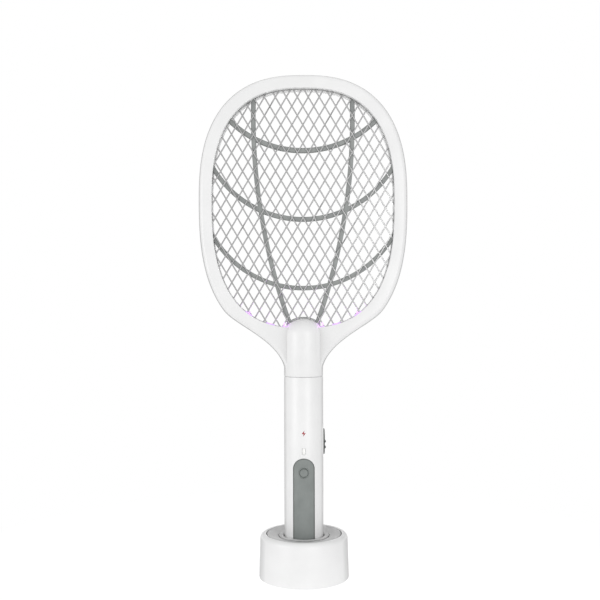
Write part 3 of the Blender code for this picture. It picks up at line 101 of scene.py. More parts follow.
# %% Colour and node helpers
def linear(colour):
    """An sRGB hex colour as linear light with full alpha."""
    channels = [int(colour[i:i + 2], 16) / 255 for i in (0, 2, 4)]
    light = [c / 12.92 if c <= 0.04045 else ((c + 0.055) / 1.055) ** 2.4 for c in channels]
    return (*light, 1.0)


def add_node(tree, kind, output=0, **settings):
    """Adds a node and gives one of its outputs. Inputs take a hex colour, another node's output or a value."""
    made = tree.nodes.new("ShaderNode" + kind)
    for name, value in settings.items():
        if name[0].islower():
            setattr(made, name, value)
            continue
        entry = made.inputs[name.replace("_", " ")]
        if isinstance(value, bpy.types.NodeSocket):
            tree.links.new(value, entry)
        else:
            entry.default_value = linear(value) if isinstance(value, str) else value
    return made.outputs[output] if made.outputs else None


def new_finish(name):
    """A material with an empty tree, and the places on its object."""
    finish = bpy.data.materials.new(name)
    finish.use_nodes = True
    tree = finish.node_tree
    tree.nodes.clear()
    return finish, tree, add_node(tree, "TexCoord", "Object")


def close_finish(finish, **settings):
    """Ends a finish with one shader for its surface."""
    tree = finish.node_tree
    add_node(tree, "OutputMaterial", Surface=add_node(tree, "BsdfPrincipled", **settings))
    print(finish.name, "nodes:", len(tree.nodes))
    return finish


print("mid grey in linear light:", round(linear("808080")[0], 3))

# %% [markdown]
# ## Studio
# The picture has a pure white ground and hardly any shadow. More light would bleach the white plastic, so the
# world lights the object at a plain level, and only what the camera sees directly, or in a reflection, is
# full white. The light comes mostly from the front and a little from the left, as from a large white wall
# behind the camera, which lets every edge darken softly as it turns away. Two softboxes stand low, one well
# to the left and one to the right of the camera. They are there for the gloss only, and draw two pale stripes
# down the handle. A third one lights the back, and is kept out of the gloss so that it leaves no glare on the
# dock's plate.

# %% World
WHITE = "FFFFFF"
AMBIENT_REAR = "919191"
AMBIENT_EDGE = 0.3
AMBIENT_TURN = math.radians(10.0)

world = bpy.data.worlds.new("white_studio")
scene.world = world
world.use_nodes = True
tree = world.node_tree
tree.nodes.clear()
turned_left = add_node(tree, "Mapping", Vector=add_node(tree, "TexCoord", "Generated"),
                       Rotation=(0.0, 0.0, AMBIENT_TURN))
heading = add_node(tree, "SeparateXYZ", "Y", Vector=turned_left)
rearward = add_node(tree, "MapRange", Value=heading, From_Min=-AMBIENT_EDGE, From_Max=AMBIENT_EDGE)
sky = add_node(tree, "MixRGB", Fac=rearward, Color1=WHITE, Color2=AMBIENT_REAR)
for ray in ("Is Camera Ray", "Is Glossy Ray", "Is Transmission Ray"):
    sky = add_node(tree, "MixRGB", Fac=add_node(tree, "LightPath", ray), Color1=sky, Color2=WHITE)
add_node(tree, "OutputWorld", Surface=add_node(tree, "Background", Color=sky))
scene.view_settings.view_transform = "Standard"
print("world nodes:", len(tree.nodes))

# %% Studio lamps
LAMP_AWAY = 1.7
LAMP_SIZE = 0.66
LAMP_AIM = Vector((0.0, 0.0, 0.24))
STUDIO_LAMPS = {"softbox_left": (-53.0, 3.0, 12.0, "visible_diffuse"),
                "softbox_right": (25.5, 3.0, 12.0, "visible_diffuse"),
                "softbox_rear": (180.0, 3.0, 8.0, "visible_glossy")}

for name, (turn, lift, power, left_out) in STUDIO_LAMPS.items():
    turn, lift = math.radians(turn), math.radians(lift)
    away = Vector((math.sin(turn) * math.cos(lift), -math.cos(turn) * math.cos(lift), math.sin(lift)))
    spot = LAMP_AIM + LAMP_AWAY * away
    facing = (LAMP_AIM - spot).to_track_quat("-Z", "Y").to_euler()
    bpy.ops.object.light_add(type="AREA", location=spot, rotation=facing)
    lamp = bpy.context.object
    lamp.name = name
    lamp.data.energy = power
    lamp.data.size = LAMP_SIZE
    lamp.visible_camera = False
    setattr(lamp, left_out, False)
    print(lamp.name, "stands at", [round(side, 2) for side in spot], "m")

# %% [markdown]
# ## Floor
# The floor is one pale plane. A plane lit by the lamps alone would come out grey next to the white ground, so
# for the camera it also glows a little, more so away from the dock. Far out the glow takes over and reaches
# just full white: a brighter floor would wash over the thin edges of what stands in front of it. What is left
# of its own light and shade is the soft dark line where the dock stands on it.

# %% Floor
FLOOR_SIZE = 8.0
FLOOR_DARK = "E4E4E4"
FLOOR_LIGHT = "E8E8E8"
BLACK = "000000"
FIBRE = 2.0 * MM
GLOW_NEAR = 0.62
GLOW_FAR = 1.0
GLOW_FADE = 420.0 * MM
BOUNCE_NEAR = 0.43
BOUNCE_FAR = 0.9

bpy.ops.mesh.primitive_plane_add(size=FLOOR_SIZE, location=(0.0, 0.0, 0.0))
floor = bpy.context.object
floor.name = "floor"
paper, tree, place = new_finish("white_paper_sweep")
reach = add_node(tree, "VectorMath", "Value", operation="LENGTH", Vector=place)
far = add_node(tree, "MapRange", Value=reach, From_Max=GLOW_FADE)
glow = add_node(tree, "MapRange", Value=far, To_Min=GLOW_NEAR, To_Max=GLOW_FAR)
bounce = add_node(tree, "MapRange", Value=far, To_Min=BOUNCE_NEAR, To_Max=BOUNCE_FAR)
seen = add_node(tree, "MapRange", Value=add_node(tree, "LightPath", "Is Camera Ray"), To_Min=bounce, To_Max=glow)
fibre = add_node(tree, "TexNoise", Vector=place, Scale=1 / FIBRE)
tone = add_node(tree, "MixRGB", Fac=fibre, Color1=FLOOR_DARK, Color2=FLOOR_LIGHT)
tone = add_node(tree, "MixRGB", Fac=far, Color1=tone, Color2=BLACK)
close_finish(paper, Base_Color=tone, Roughness=1.0, Emission_Color=WHITE, Emission_Strength=seen,
             Specular_IOR_Level=0.0)
floor.data.materials.append(paper)

# %% [markdown]
# ## Moulded plastic
# Nearly everything in view is injection-moulded plastic: white and grey ABS, and a soft-touch grip panel.
# ABS looks even, but its tone drifts a little where the melt cooled, and the mould's spark-eroded surface
# leaves a fine grain that breaks the gloss. A painted shade darkens the base colour where an ambient occlusion
# node finds a piece folding in on itself, on faces that look to the front or back; it is painted shade in
# the corners. A second painted shade darkens the faces below the head that turn to the left or right, on the
# handle, neck and dock. One function makes the family, and each finish gets
# its own tones, gloss and grain. The grain of a real mould is about 0.1 mm, which is too fine for the render,
# so it is drawn as coarse as it needs to show.

# %% Plastics
ABS_IOR = 1.53
ABS_SPECULAR = 0.3
GLOSS_SPREAD = 0.06
NOISE_LOW = 0.35
NOISE_HIGH = 0.65
# Painted shade in corners, on faces that look to the front or back, found by ambient occlusion
CORNER_REACH = 40.0 * MM
PAINTED_CORNER_SHADE = "B4B4B4"
FLAT_FROM = 0.7
FLAT_TO = 0.95
# Painted shade on faces that turn to the left or right, below a height
SIDE_FROM = 0.85
SIDE_TOP = 262.0 * MM
SIDE_FADE = 12.0 * MM
PAINTED_SIDE_SHADE = "D6D6D6"


def clouds(tree, place, dark, light, size, detail=2.0):
    """Two close tones that drift into each other: the share of the lighter one, and the tone."""
    noise = add_node(tree, "TexNoise", Vector=place, Scale=1 / size, Detail=detail)
    share = add_node(tree, "MapRange", Value=noise, From_Min=NOISE_LOW, From_Max=NOISE_HIGH)
    return share, add_node(tree, "MixRGB", Fac=share, Color1=dark, Color2=light)


def moulded_plastic(name, dark, light, roughness, cloud, grain, relief):
    """Plastic of two close tones in clouds, with painted shade in its corners and on its sides, and a grain that
    roughens it and stands out by its relief.
    """
    finish, tree, place = new_finish(name)
    _, tone = clouds(tree, place, dark, light, cloud)
    # Painted shade in corners: ambient occlusion darkens the base colour on faces that look to the front or back
    clear = add_node(tree, "AmbientOcclusion", "AO", Distance=CORNER_REACH, samples=16, only_local=True)
    corner = add_node(tree, "MapRange", Value=clear, From_Min=1.0, From_Max=0.0)
    depth = add_node(tree, "Math", operation="SQRT", Value=corner)
    facing = add_node(tree, "TexCoord", "Normal")
    sideways, frontal = (add_node(tree, "Math", operation="ABSOLUTE",
                                  Value=add_node(tree, "SeparateXYZ", axis, Vector=facing)) for axis in "XY")
    painted_corner_shade = add_node(tree, "MapRange", Value=frontal, From_Min=FLAT_FROM, From_Max=FLAT_TO, To_Max=depth)
    # Painted shade on the sides: faces that look left or right below SIDE_TOP get a darker base colour
    height = add_node(tree, "SeparateXYZ", "Z", Vector=place)
    below = add_node(tree, "MapRange", Value=height, From_Min=SIDE_TOP, From_Max=SIDE_TOP - SIDE_FADE)
    painted_side_shade = add_node(tree, "MapRange", Value=sideways, From_Min=SIDE_FROM, To_Max=below)
    # Both painted shades darken the base colour here
    for share, shade in ((painted_corner_shade, PAINTED_CORNER_SHADE), (painted_side_shade, PAINTED_SIDE_SHADE)):
        tone = add_node(tree, "MixRGB", blend_type="MULTIPLY", Fac=share, Color1=tone, Color2=shade)
    spark = add_node(tree, "TexNoise", Vector=place, Scale=1 / grain, Detail=4.0)
    gloss = add_node(tree, "MapRange", Value=spark, From_Min=NOISE_LOW, From_Max=NOISE_HIGH,
                     To_Min=roughness - GLOSS_SPREAD, To_Max=roughness + GLOSS_SPREAD)
    bump = add_node(tree, "Bump", Height=spark, Distance=relief, Strength=1.0)
    return close_finish(finish, Base_Color=tone, Roughness=gloss, Normal=bump, IOR=ABS_IOR,
                        Specular_IOR_Level=ABS_SPECULAR)


# Satin white: bright all over, with soft wide highlights
white_abs = moulded_plastic("moulded_white_abs_satin", "F3F3F3", "F7F7F7", 0.4, 30 * MM, 0.8 * MM, 0.006 * MM)
# Matt grey: even and flat, so that the ribs stay behind the bright net
grey_abs = moulded_plastic("moulded_grey_abs_matt", "929594", "9C9F9D", 0.5, 12 * MM, 0.7 * MM, 0.012 * MM)
# Darker grey for the thumb piece, a little glossier where thumbs rub it
switch_abs = moulded_plastic("moulded_mid_grey_abs", "4C4F4E", "575A58", 0.42, 8 * MM, 0.6 * MM, 0.012 * MM)
# Pale grey of the dock's recessed plate
pale_abs = moulded_plastic("moulded_pale_grey_abs_matt", "C6C6C6", "CECECE", 0.48, 20 * MM, 0.8 * MM, 0.01 * MM)
# Soft-touch paint on the grip: no clear highlight, a fine velvety grain
soft_grip = moulded_plastic("soft_touch_grip", "868B89", "8F9492", 0.68, 16 * MM, 0.9 * MM, 0.03 * MM)
# Black parts inside, plain and matt
black_abs = moulded_plastic("moulded_black_plastic", "242528", "2A2B2E", 0.5, 10 * MM, 0.7 * MM, 0.01 * MM)
# Moulded rubber foot: darker, nearly without gloss
rubber = moulded_plastic("moulded_rubber_matt", "444444", "4E4E4E", 0.82, 9 * MM, 0.9 * MM, 0.03 * MM)

# %% [markdown]
# ## Metals
# The nets are stamped from sheet steel and plated, the screws are plated steel, the charging contacts have a
# thin layer of gold, and the transformer is wound with copper. A metal has no colour of its own besides its
# reflection, so the tone goes into the reflection and small changes of roughness make the plating believable.

# %% Metals
def plated_metal(name, dark, light, roughness, patch):
    """Metal whose tint and gloss change softly from patch to patch."""
    finish, tree, place = new_finish(name)
    share, tone = clouds(tree, place, dark, light, patch, detail=3.0)
    gloss = add_node(tree, "MapRange", Value=share, To_Min=roughness + GLOSS_SPREAD, To_Max=roughness - GLOSS_SPREAD)
    return close_finish(finish, Base_Color=tone, Metallic=1.0, Roughness=gloss)


net_steel = plated_metal("plated_sheet_steel", "A6A6A6", "B6B6B6", 0.24, 14 * MM)
screw_steel = plated_metal("plated_screw_steel", "8C8C8A", "A0A09E", 0.32, 1.5 * MM)
gold = plated_metal("gold_plated_brass", "CFA94F", "DDBB66", 0.26, 1.5 * MM)
copper = plated_metal("enamelled_copper_wire", "A8622F", "BE7A44", 0.34, 1.2 * MM)

# %% [markdown]
# ## Lamps, lenses and small electric parts
# The lamps are violet diodes in clear resin, and they glow. The two signs on the handle are clear plastic
# plugs. The circuit boards have copper tracks that show as lighter lines under the green resist, and the
# cell has a shiny shrunk film.

# %% Glowing and clear finishes
LAMP_GLOW = 0.6
SIGN_GLOW = 0.12
RESIN_IOR = 1.5
RESIN_SMOOTH = 0.16
RESIN_DULL = 0.24


def clear_resin(name, dark, light, glow_colour, glow, patch):
    """Clear moulded resin with faint streaks and a light behind it."""
    finish, tree, place = new_finish(name)
    share, tone = clouds(tree, place, dark, light, patch)
    gloss = add_node(tree, "MapRange", Value=share, To_Min=RESIN_SMOOTH, To_Max=RESIN_DULL)
    return close_finish(finish, Base_Color=tone, Roughness=gloss, Emission_Color=glow_colour, Emission_Strength=glow,
                        IOR=RESIN_IOR)


violet_resin = clear_resin("violet_lamp_resin", "BCA4D4", "C8B2DE", "C79CE4", LAMP_GLOW, 1.0 * MM)
red_resin = clear_resin("red_clear_plastic", "98202C", "A62A36", "A8202E", SIGN_GLOW, 1.5 * MM)
milk_resin = clear_resin("milky_clear_plastic", "E6E6E4", "F0F0EE", WHITE, SIGN_GLOW, 1.5 * MM)
film_blue = clear_resin("shrunk_blue_film", "34709F", "4285B8", "3E7FB5", 0.0, 9.0 * MM)

# %% Boards and lead insulation
TRACK_PITCH = 2.5 * MM
TRACK_RELIEF = 0.03 * MM
TRACK_FROM = 0.55
TRACK_TO = 0.65
RESIST_GLOSS = 0.38

circuit_board, tree, place = new_finish("green_resist_board")
tracks = add_node(tree, "TexWave", "Fac", Vector=place, Scale=math.tau / 20 / TRACK_PITCH, Distortion=3.0,
                  Detail=1.0, wave_profile="SIN", bands_direction="DIAGONAL")
share = add_node(tree, "MapRange", Value=tracks, From_Min=TRACK_FROM, From_Max=TRACK_TO)
tone = add_node(tree, "MixRGB", Fac=share, Color1="2A6140", Color2="3B7E55")
bump = add_node(tree, "Bump", Height=share, Distance=TRACK_RELIEF, Strength=1.0)
close_finish(circuit_board, Base_Color=tone, Normal=bump, Roughness=RESIST_GLOSS)
red_sleeve = moulded_plastic("red_wire_sleeve", "A82626", "B83030", 0.45, 6 * MM, 0.6 * MM, 0.01 * MM)
black_sleeve = moulded_plastic("black_wire_sleeve", "202020", "282828", 0.45, 6 * MM, 0.6 * MM, 0.01 * MM)
print("materials:", len(bpy.data.materials))

# %% [markdown]
# ## Modelling by hand, in code
# Each piece starts as a primitive that is shaped with the operators a modeller would use. Operators act on
# what is selected, so the first helper always selects one thing only. Two starts cover nearly every moulded
# piece: a flat outline that is extruded to a plate, and half a section that is spun round an axis.

# %% Selecting
WELD = 0.001 * MM


def select_only(*pieces):
    """Object mode, with only these pieces selected and the first one active."""
    if bpy.context.mode != "OBJECT":
        bpy.ops.object.mode_set(mode="OBJECT")
    bpy.ops.object.select_all(action="DESELECT")
    for piece in reversed(pieces):
        piece.select_set(True)
        bpy.context.view_layer.objects.active = piece


def edit(piece):
    """Edit mode on one piece, with all of it selected."""
    select_only(piece)
    bpy.ops.object.mode_set(mode="EDIT")
    bpy.ops.mesh.select_all(action="SELECT")


def edit_edges(piece, chosen):
    """Edit mode on one piece, with only the edges selected whose two ends pass a test."""
    edit(piece)
    bpy.ops.mesh.select_mode(type="EDGE")
    bpy.ops.mesh.select_all(action="DESELECT")
    bpy.ops.object.mode_set(mode="OBJECT")
    points = piece.data.vertices
    for edge in piece.data.edges:
        edge.select = chosen(*(points[index].co for index in edge.vertices))
    bpy.ops.object.mode_set(mode="EDIT")


def face_outwards():
    """In edit mode: merges doubled points and turns every face outwards."""
    bpy.ops.mesh.select_all(action="SELECT")
    bpy.ops.mesh.remove_doubles(threshold=WELD)
    bpy.ops.mesh.normals_make_consistent(inside=False)
    bpy.ops.object.mode_set(mode="OBJECT")


print("selected now:", len(bpy.context.selected_objects))

# %% Plates and turned pieces
CORNER_STEPS = 4
HOLE_STEPS = 32
CENTRE = (0.0, 0.0, 0.0)
UPWARDS = (0.0, 0.0, 1.0)
TO_FRONT = (0.0, -1.0, 0.0)
TO_REAR = (0.0, 1.0, 0.0)


def outline_start(points, fill):
    """A circle primitive whose corners are moved to the points of an outline."""
    select_only()
    bpy.ops.mesh.primitive_circle_add(vertices=len(points), radius=MM, fill_type=fill)
    piece = bpy.context.object
    for vertex, point in zip(piece.data.vertices, points):
        vertex.co = point
    return piece


def plate(outline, low, high, axis="Y"):
    """An outline extruded along an axis: its points are (x, z) for Y, (y, z) for X and (x, y) for Z."""
    order = {"X": (2, 0, 1), "Y": (0, 2, 1), "Z": (0, 1, 2)}[axis]
    flat = [(first, second, low) for first, second in outline]
    piece = outline_start([[point[i] for i in order] for point in flat], "NGON")
    shift = (0.0, 0.0, high - low)
    edit(piece)
    bpy.ops.mesh.extrude_region_move(TRANSFORM_OT_translate={"value": [shift[i] for i in order]})
    face_outwards()
    return piece


def aim(piece, at, towards):
    """Turns a piece from upright to a direction, and moves it to a place."""
    turn = Vector(towards).to_track_quat("Z", "Y").to_matrix().to_4x4()
    piece.data.transform(Matrix.Translation(at) @ turn)


def turned(profile, steps, at=CENTRE, towards=UPWARDS):
    """A closed section of (radius, height) points spun about Z, then aimed along a direction and placed."""
    piece = outline_start([(radius, 0.0, height) for radius, height in profile], "NOTHING")
    edit(piece)
    bpy.ops.mesh.spin(steps=steps, angle=math.tau, use_auto_merge=True, center=CENTRE, axis=UPWARDS)
    face_outwards()
    aim(piece, at, towards)
    return piece


def rod(radius, low, high, at=CENTRE, towards=UPWARDS, steps=HOLE_STEPS):
    """A plain round bar, used to cut holes."""
    return turned([(0.0, low), (radius, low), (radius, high), (0.0, high)], steps, at, towards)


def arc(centre, radius, start, end, steps=CORNER_STEPS, rise=None):
    """Points on an arc, with its turns in degrees. With a rise of its own it is part of an ellipse."""
    rise = rise or radius
    turns = [math.radians(start + (end - start) * i / steps) for i in range(steps + 1)]
    return [(centre[0] + radius * math.cos(turn), centre[1] + rise * math.sin(turn)) for turn in turns]


def rounded(across, up, radius, start, end, steps=CORNER_STEPS):
    """The corner of an outline, rounded between two turns in degrees."""
    middle = math.radians((start + end) / 2)
    centre = (across - math.copysign(radius, math.cos(middle)), up - math.copysign(radius, math.sin(middle)))
    return arc(centre, radius, start, end, steps)


def oblong(half, low, high):
    """The outline of a rectangle that lies evenly about the axis."""
    return [(-half, low), (half, low), (half, high), (-half, high)]


def stadium(length, width, centre, steps=24):
    """An outline (across, along) with round ends, long along the second axis."""
    reach = (length - width) / 2
    return (arc((0.0, centre + reach), width / 2, 0, 180, steps)
            + arc((0.0, centre - reach), width / 2, 180, 360, steps))


def lying(outline, height=0.0):
    """An upright outline laid on its side at a height."""
    return [(along, across + height) for across, along in outline]


print("points of a corner:", len(arc(CENTRE, MM, 0, 90)))

# %% Boolean, edge and finishing helpers
SMOOTH_ANGLE = math.radians(32.0)


def apply_modifier(piece, kind, **settings):
    """Adds a modifier with its settings and applies it."""
    select_only(piece)
    modifier = piece.modifiers.new(kind.lower(), kind)
    for name, value in settings.items():
        setattr(modifier, name, value)
    bpy.ops.object.modifier_apply(modifier=modifier.name)


def boolean(piece, operation, tools):
    """Combines a piece with each tool in turn, and removes the tools."""
    for tool in tools:
        apply_modifier(piece, "BOOLEAN", object=tool, operation=operation, solver="MANIFOLD")
        bpy.data.objects.remove(tool)


def cut(piece, *tools):
    """Cuts the tools out of a piece."""
    boolean(piece, "DIFFERENCE", tools)


def join(piece, *tools):
    """Joins the tools to a piece."""
    boolean(piece, "UNION", tools)


def keep_within(piece, *tools):
    """Keeps what a piece shares with the tools."""
    boolean(piece, "INTERSECT", tools)


def round_edges(piece, chosen, width, segments):
    """Rounds the edges that pass a test."""
    edit_edges(piece, chosen)
    bpy.ops.mesh.bevel(offset=width, segments=segments, profile=0.5, affect="EDGES", clamp_overlap=True)
    face_outwards()


def soften(piece, width, segments=2, angle=35.0):
    """Takes the sharpness off every edge that turns more than an angle."""
    apply_modifier(piece, "BEVEL", width=width, segments=segments, limit_method="ANGLE",
                   angle_limit=math.radians(angle))


def finish_piece(piece, name, body, material, slot, replaced, smooth=SMOOTH_ANGLE):
    """Names a piece, shades it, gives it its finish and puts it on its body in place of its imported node."""
    select_only(piece)
    if smooth:
        bpy.ops.object.shade_smooth_by_angle(angle=smooth)
    else:
        bpy.ops.object.shade_flat()
    piece.name = name
    piece.data.name = name
    piece.data.materials.clear()
    piece.data.materials.append(material)
    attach(piece, body)
    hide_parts(replaced)
    corners = [Vector(corner) for corner in piece.bound_box]
    print(name, "faces:", len(piece.data.polygons), "size in mm:",
          [round((max(c[i] for c in corners) - min(c[i] for c in corners)) / MM, 1) for i in range(3)])
    return piece


print("smooth shading up to", round(math.degrees(SMOOTH_ANGLE)), "degrees")

# %% [markdown]
# ## Head: outlines
# The window is an egg-shaped superellipse, a little taller and squarer below its middle than above. The band
# round it has its own, wider one, and below it two flares sweep from the band into the neck. A formula gives
# a smoother edge than points set by hand, and every net, rib and lamp can use the same one.

# %% Outlines of the window and the band
FIT = 0.3 * MM
BEYOND = 5.0 * MM
OVAL_TOP_POWER = 2.54
OVAL_FOOT_POWER = 2.63
NET_BORDER = 4.5 * MM
WINDOW_RISE = 114.0 * MM
BAND_SIDE = 13.5 * MM
BAND_TOP = 14.2 * MM
BAND_FOOT = 15.3 * MM
OVAL_POINTS = 160
SMALL_TURN = 0.01

net_low, net_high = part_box("front_net")
WINDOW_HALF_WIDTH = net_high.x - NET_BORDER
WINDOW_Z = net_high.z - NET_BORDER - WINDOW_RISE
WINDOW_LOW = net_low.z + NET_BORDER
WINDOW_DROP = WINDOW_Z - WINDOW_LOW
HEAD_HALF_DEPTH = 11.0 * MM


def oval_point(turn, half_width, rise, drop):
    """A point of an egg-shaped superellipse about the window's centre."""
    across = math.cos(turn)
    up = math.sin(turn)
    reach, power = (rise, 2 / OVAL_TOP_POWER) if up > 0 else (drop, 2 / OVAL_FOOT_POWER)
    x = half_width * math.copysign(abs(across) ** power, across)
    z = reach * math.copysign(abs(up) ** power, up)
    return x, WINDOW_Z + z


def window_point(turn, grow=0.0):
    return oval_point(turn, WINDOW_HALF_WIDTH + grow, WINDOW_RISE + grow, WINDOW_DROP + grow)


def window(grow=0.0):
    """The window's edge, moved outwards by a margin."""
    return [window_point(math.tau * i / OVAL_POINTS, grow) for i in range(OVAL_POINTS)]


def window_plug(grow=0.0):
    """A plug of the window's shape that goes right through the head."""
    return plate(window(grow), -3 * HEAD_HALF_DEPTH, 3 * HEAD_HALF_DEPTH)


def lower_turn(x):
    """The turn at which the window's lower edge passes over x."""
    turn = -math.acos((abs(x) / WINDOW_HALF_WIDTH) ** (OVAL_FOOT_POWER / 2))
    return turn if x > 0 else -math.pi - turn


def window_normal(turn):
    """The outward direction of the window's edge, in the XZ plane."""
    ahead = Vector(window_point(turn + SMALL_TURN))
    behind = Vector(window_point(turn - SMALL_TURN))
    along = (ahead - behind).normalized()
    return Vector((along.y, 0.0, -along.x))


print("window in mm:", round(2 * WINDOW_HALF_WIDTH / MM, 1), "by", round((WINDOW_RISE + WINDOW_DROP) / MM, 1))

# %% Outline of the band, its flares and its neck
FLARE_TURN = math.radians(-45.8)
FLARE_LEAD = 20.8 * MM
FLARE_REACH = 34.4 * MM
FLARE_POINTS = 24
WEB_TUCK = 1.6 * MM

handle_low, handle_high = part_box("handle_rear_shell")
HANDLE_RADIUS = handle_high.y
HANDLE_LOW = handle_low.z
HANDLE_TOP = handle_high.z
SEAM_Z = HANDLE_TOP + FIT


def head_outline(inset=0.0, low=SEAM_Z):
    """The head's outer edge from neck to neck, where two flares take the oval into the neck."""
    def edge(turn):
        return Vector(oval_point(turn, WINDOW_HALF_WIDTH + BAND_SIDE - inset, WINDOW_RISE + BAND_TOP - inset,
                                 WINDOW_DROP + BAND_FOOT - inset))

    neck = HANDLE_RADIUS - WEB_TUCK - inset
    leave = edge(FLARE_TURN)
    heading = (edge(FLARE_TURN - SMALL_TURN) - leave).normalized()
    controls = (Vector((neck, low)), Vector((neck, SEAM_Z + FLARE_REACH)), leave + heading * FLARE_LEAD, leave)
    right = []
    for i in range(FLARE_POINTS):
        t = i / FLARE_POINTS
        weights = ((1 - t) ** 3, 3 * t * (1 - t) ** 2, 3 * t ** 2 * (1 - t), t ** 3)
        right.append(sum((point * weight for point, weight in zip(controls, weights)), Vector((0.0, 0.0))))
    sweep = math.pi - 2 * FLARE_TURN
    over = [edge(FLARE_TURN + sweep * i / OVAL_POINTS) for i in range(OVAL_POINTS + 1)]
    left = [Vector((-point.x, point.y)) for point in reversed(right)]
    return [tuple(point) for point in right + over + left]


print("head outline points:", len(head_outline()))

# %% [markdown]
# ## Head: the two moulded frames
# Each half of the head is one moulding: a channel-shaped band with a rounded outer edge, two flat webs and
# half of the neck, whose round is carried up from the handle and ends in a dome over the window's edge. A
# thin skirt runs forwards from the rear window's lip and hides the borders of the nets. The front
# half steps in a little above its rim, which draws a fine grey line round the head.
# The band is a plate whose front edge is bevelled before anything is cut, because a bevel on a clean outline
# stays even. The neck is turned, joined on, and the inside is hollowed last.

# %% Neck
BORE = 17.6 * MM
DOME_RISE = 14.8 * MM
DOME_OVER = 9.5 * MM
DOME_LOW = WINDOW_LOW + DOME_OVER - DOME_RISE
DOME_STEPS = 16
SPIGOT_LENGTH = 10.0 * MM
SPIGOT_WALL = 2.0 * MM
NECK_ROOF = 3.2 * MM
SEAM_ROUND = 0.35 * MM
SEAM_STEPS = 3
ROUND_STEPS = 96


def neck_shape():
    """The handle's round carried up to its domed top, with a spigot below that plugs into the handle."""
    spigot = BORE - FIT
    section = [(0.0, SEAM_Z - SPIGOT_LENGTH), (spigot, SEAM_Z - SPIGOT_LENGTH), (spigot, SEAM_Z)]
    section += rounded(HANDLE_RADIUS, SEAM_Z, SEAM_ROUND, -90, 0, SEAM_STEPS)
    section += arc((0.0, DOME_LOW), HANDLE_RADIUS, 0, 90, DOME_STEPS, DOME_RISE)
    return turned(section, ROUND_STEPS)


def neck_cavity():
    """The hollow of the spigot and the neck, up to just below the window's lip."""
    spigot = BORE - FIT - SPIGOT_WALL
    step = SEAM_Z + SPIGOT_WALL
    bottom = SEAM_Z - SPIGOT_LENGTH - BEYOND
    top = WINDOW_LOW - NECK_ROOF
    return turned([(0.0, bottom), (spigot, bottom), (spigot, step), (BORE, step), (BORE, top), (0.0, top)],
                  ROUND_STEPS)


print("neck is", round(2 * HANDLE_RADIUS / MM, 1), "mm round")

# %% Band, webs and hollow
HEAD_WALL = 2.0 * MM
EDGE_ROUND = 4.0 * MM
EDGE_STEPS = 7
LIP = 2.0 * MM
LIP_END = 5.3 * MM
LIP_ROUND = 0.6 * MM
LIP_SKIRT = 1.2 * MM
RIM_STEP = 1.2 * MM
RIM_END = 4.0 * MM
NET_THICKNESS = 0.8 * MM
CHANNEL_END = HEAD_HALF_DEPTH - HEAD_WALL
SCREW_TURNS = [math.radians(turn) for turn in (52.0, 128.0, 215.0, 325.0)]
SCREW_RADIUS = 1.0 * MM
SCREW_HEAD_RADIUS = 2.0 * MM
SCREW_HEAD_HEIGHT = 1.2 * MM
BOSS_WALL = 1.6 * MM
LAMPS = [(x * MM, length * MM) for x, length in ((-55.7, 9.0), (-33.7, 9.3), (-19.6, 3.2),
                                                 (19.6, 3.2), (33.7, 9.3), (55.7, 9.0))]
LAMP_RADIUS = 1.25 * MM
LAMP_SEAT = 4.2 * MM
LAMP_STEPS = 10
LAMP_Y = -(LIP_END + CHANNEL_END) / 2
screw_places = [window_point(turn, NET_BORDER + FIT + SCREW_RADIUS + BOSS_WALL) for turn in SCREW_TURNS]


def head_band(side):
    """The band and its webs as one plate with a rounded outer edge, opened by the window."""
    band = plate(head_outline(RIM_STEP if side < 0 else 0.0), -side * BEYOND, side * HEAD_HALF_DEPTH)
    front = side * HEAD_HALF_DEPTH

    def rim(first, second):
        at_front = all(abs(point.y - front) < FIT / 2 for point in (first, second))
        return at_front and max(first.z, second.z) > SEAM_Z + FIT / 2

    round_edges(band, rim, EDGE_ROUND, EDGE_STEPS)
    if side < 0:
        join(band, plate(head_outline(), -side * BEYOND, side * RIM_END))
    cut(band, window_plug())
    edge_points = {(round(x / WELD), round(z / WELD)) for x, z in window()}

    def lip(first, second):
        return all(abs(point.y - front) < FIT / 2
                   and (round(point.x / WELD), round(point.z / WELD)) in edge_points
                   for point in (first, second))

    round_edges(band, lip, LIP_ROUND, segments=3)
    return band


def head_half(side):
    """One half of the head, with its neck, hollowed out inside."""
    half = head_band(side)
    join(half, neck_shape())
    inside = head_outline(HEAD_WALL, SEAM_Z + 2 * SPIGOT_WALL)
    behind = plate(inside, -side * 2 * HEAD_HALF_DEPTH, side * LIP_END)
    if side > 0:
        cut(behind, window_plug(LIP_SKIRT))
    cut(half, behind)
    channel = plate(inside, side * (LIP_END - NET_THICKNESS), side * CHANNEL_END)
    cut(channel, window_plug(LIP))
    cut(half, channel, neck_cavity())
    return half


print("lamps:", len(LAMPS), "screws:", len(screw_places))

# %% Bosses, screw holes and lamp holes
def lamp_place(x):
    """A lamp's placement on the window's lower edge: +X along the edge, +Z out of the window."""
    turn = lower_turn(x)
    edge = window_point(turn)
    outwards = window_normal(turn)
    depth = Vector((0.0, 1.0, 0.0))
    axes = Matrix((depth.cross(outwards), depth, outwards)).transposed().to_4x4()
    return Matrix.Translation((edge[0], LAMP_Y, edge[1])) @ axes


def lamp_plug(length, grow, low, high):
    """An oblong plug, grown by a margin, that lies along +X before it is placed."""
    outline = stadium(length + 2 * grow, 2 * (LAMP_RADIUS + grow), 0.0, LAMP_STEPS)
    return plate(lying(outline), low, high, "Z")


def half_space(side):
    """The whole front (-1) or rear (+1) of the object, half a fit short of the parting plane."""
    reach = 2 * cad_high.z
    return plate(oblong(reach, -reach, reach), side * FIT / 2, side * reach)


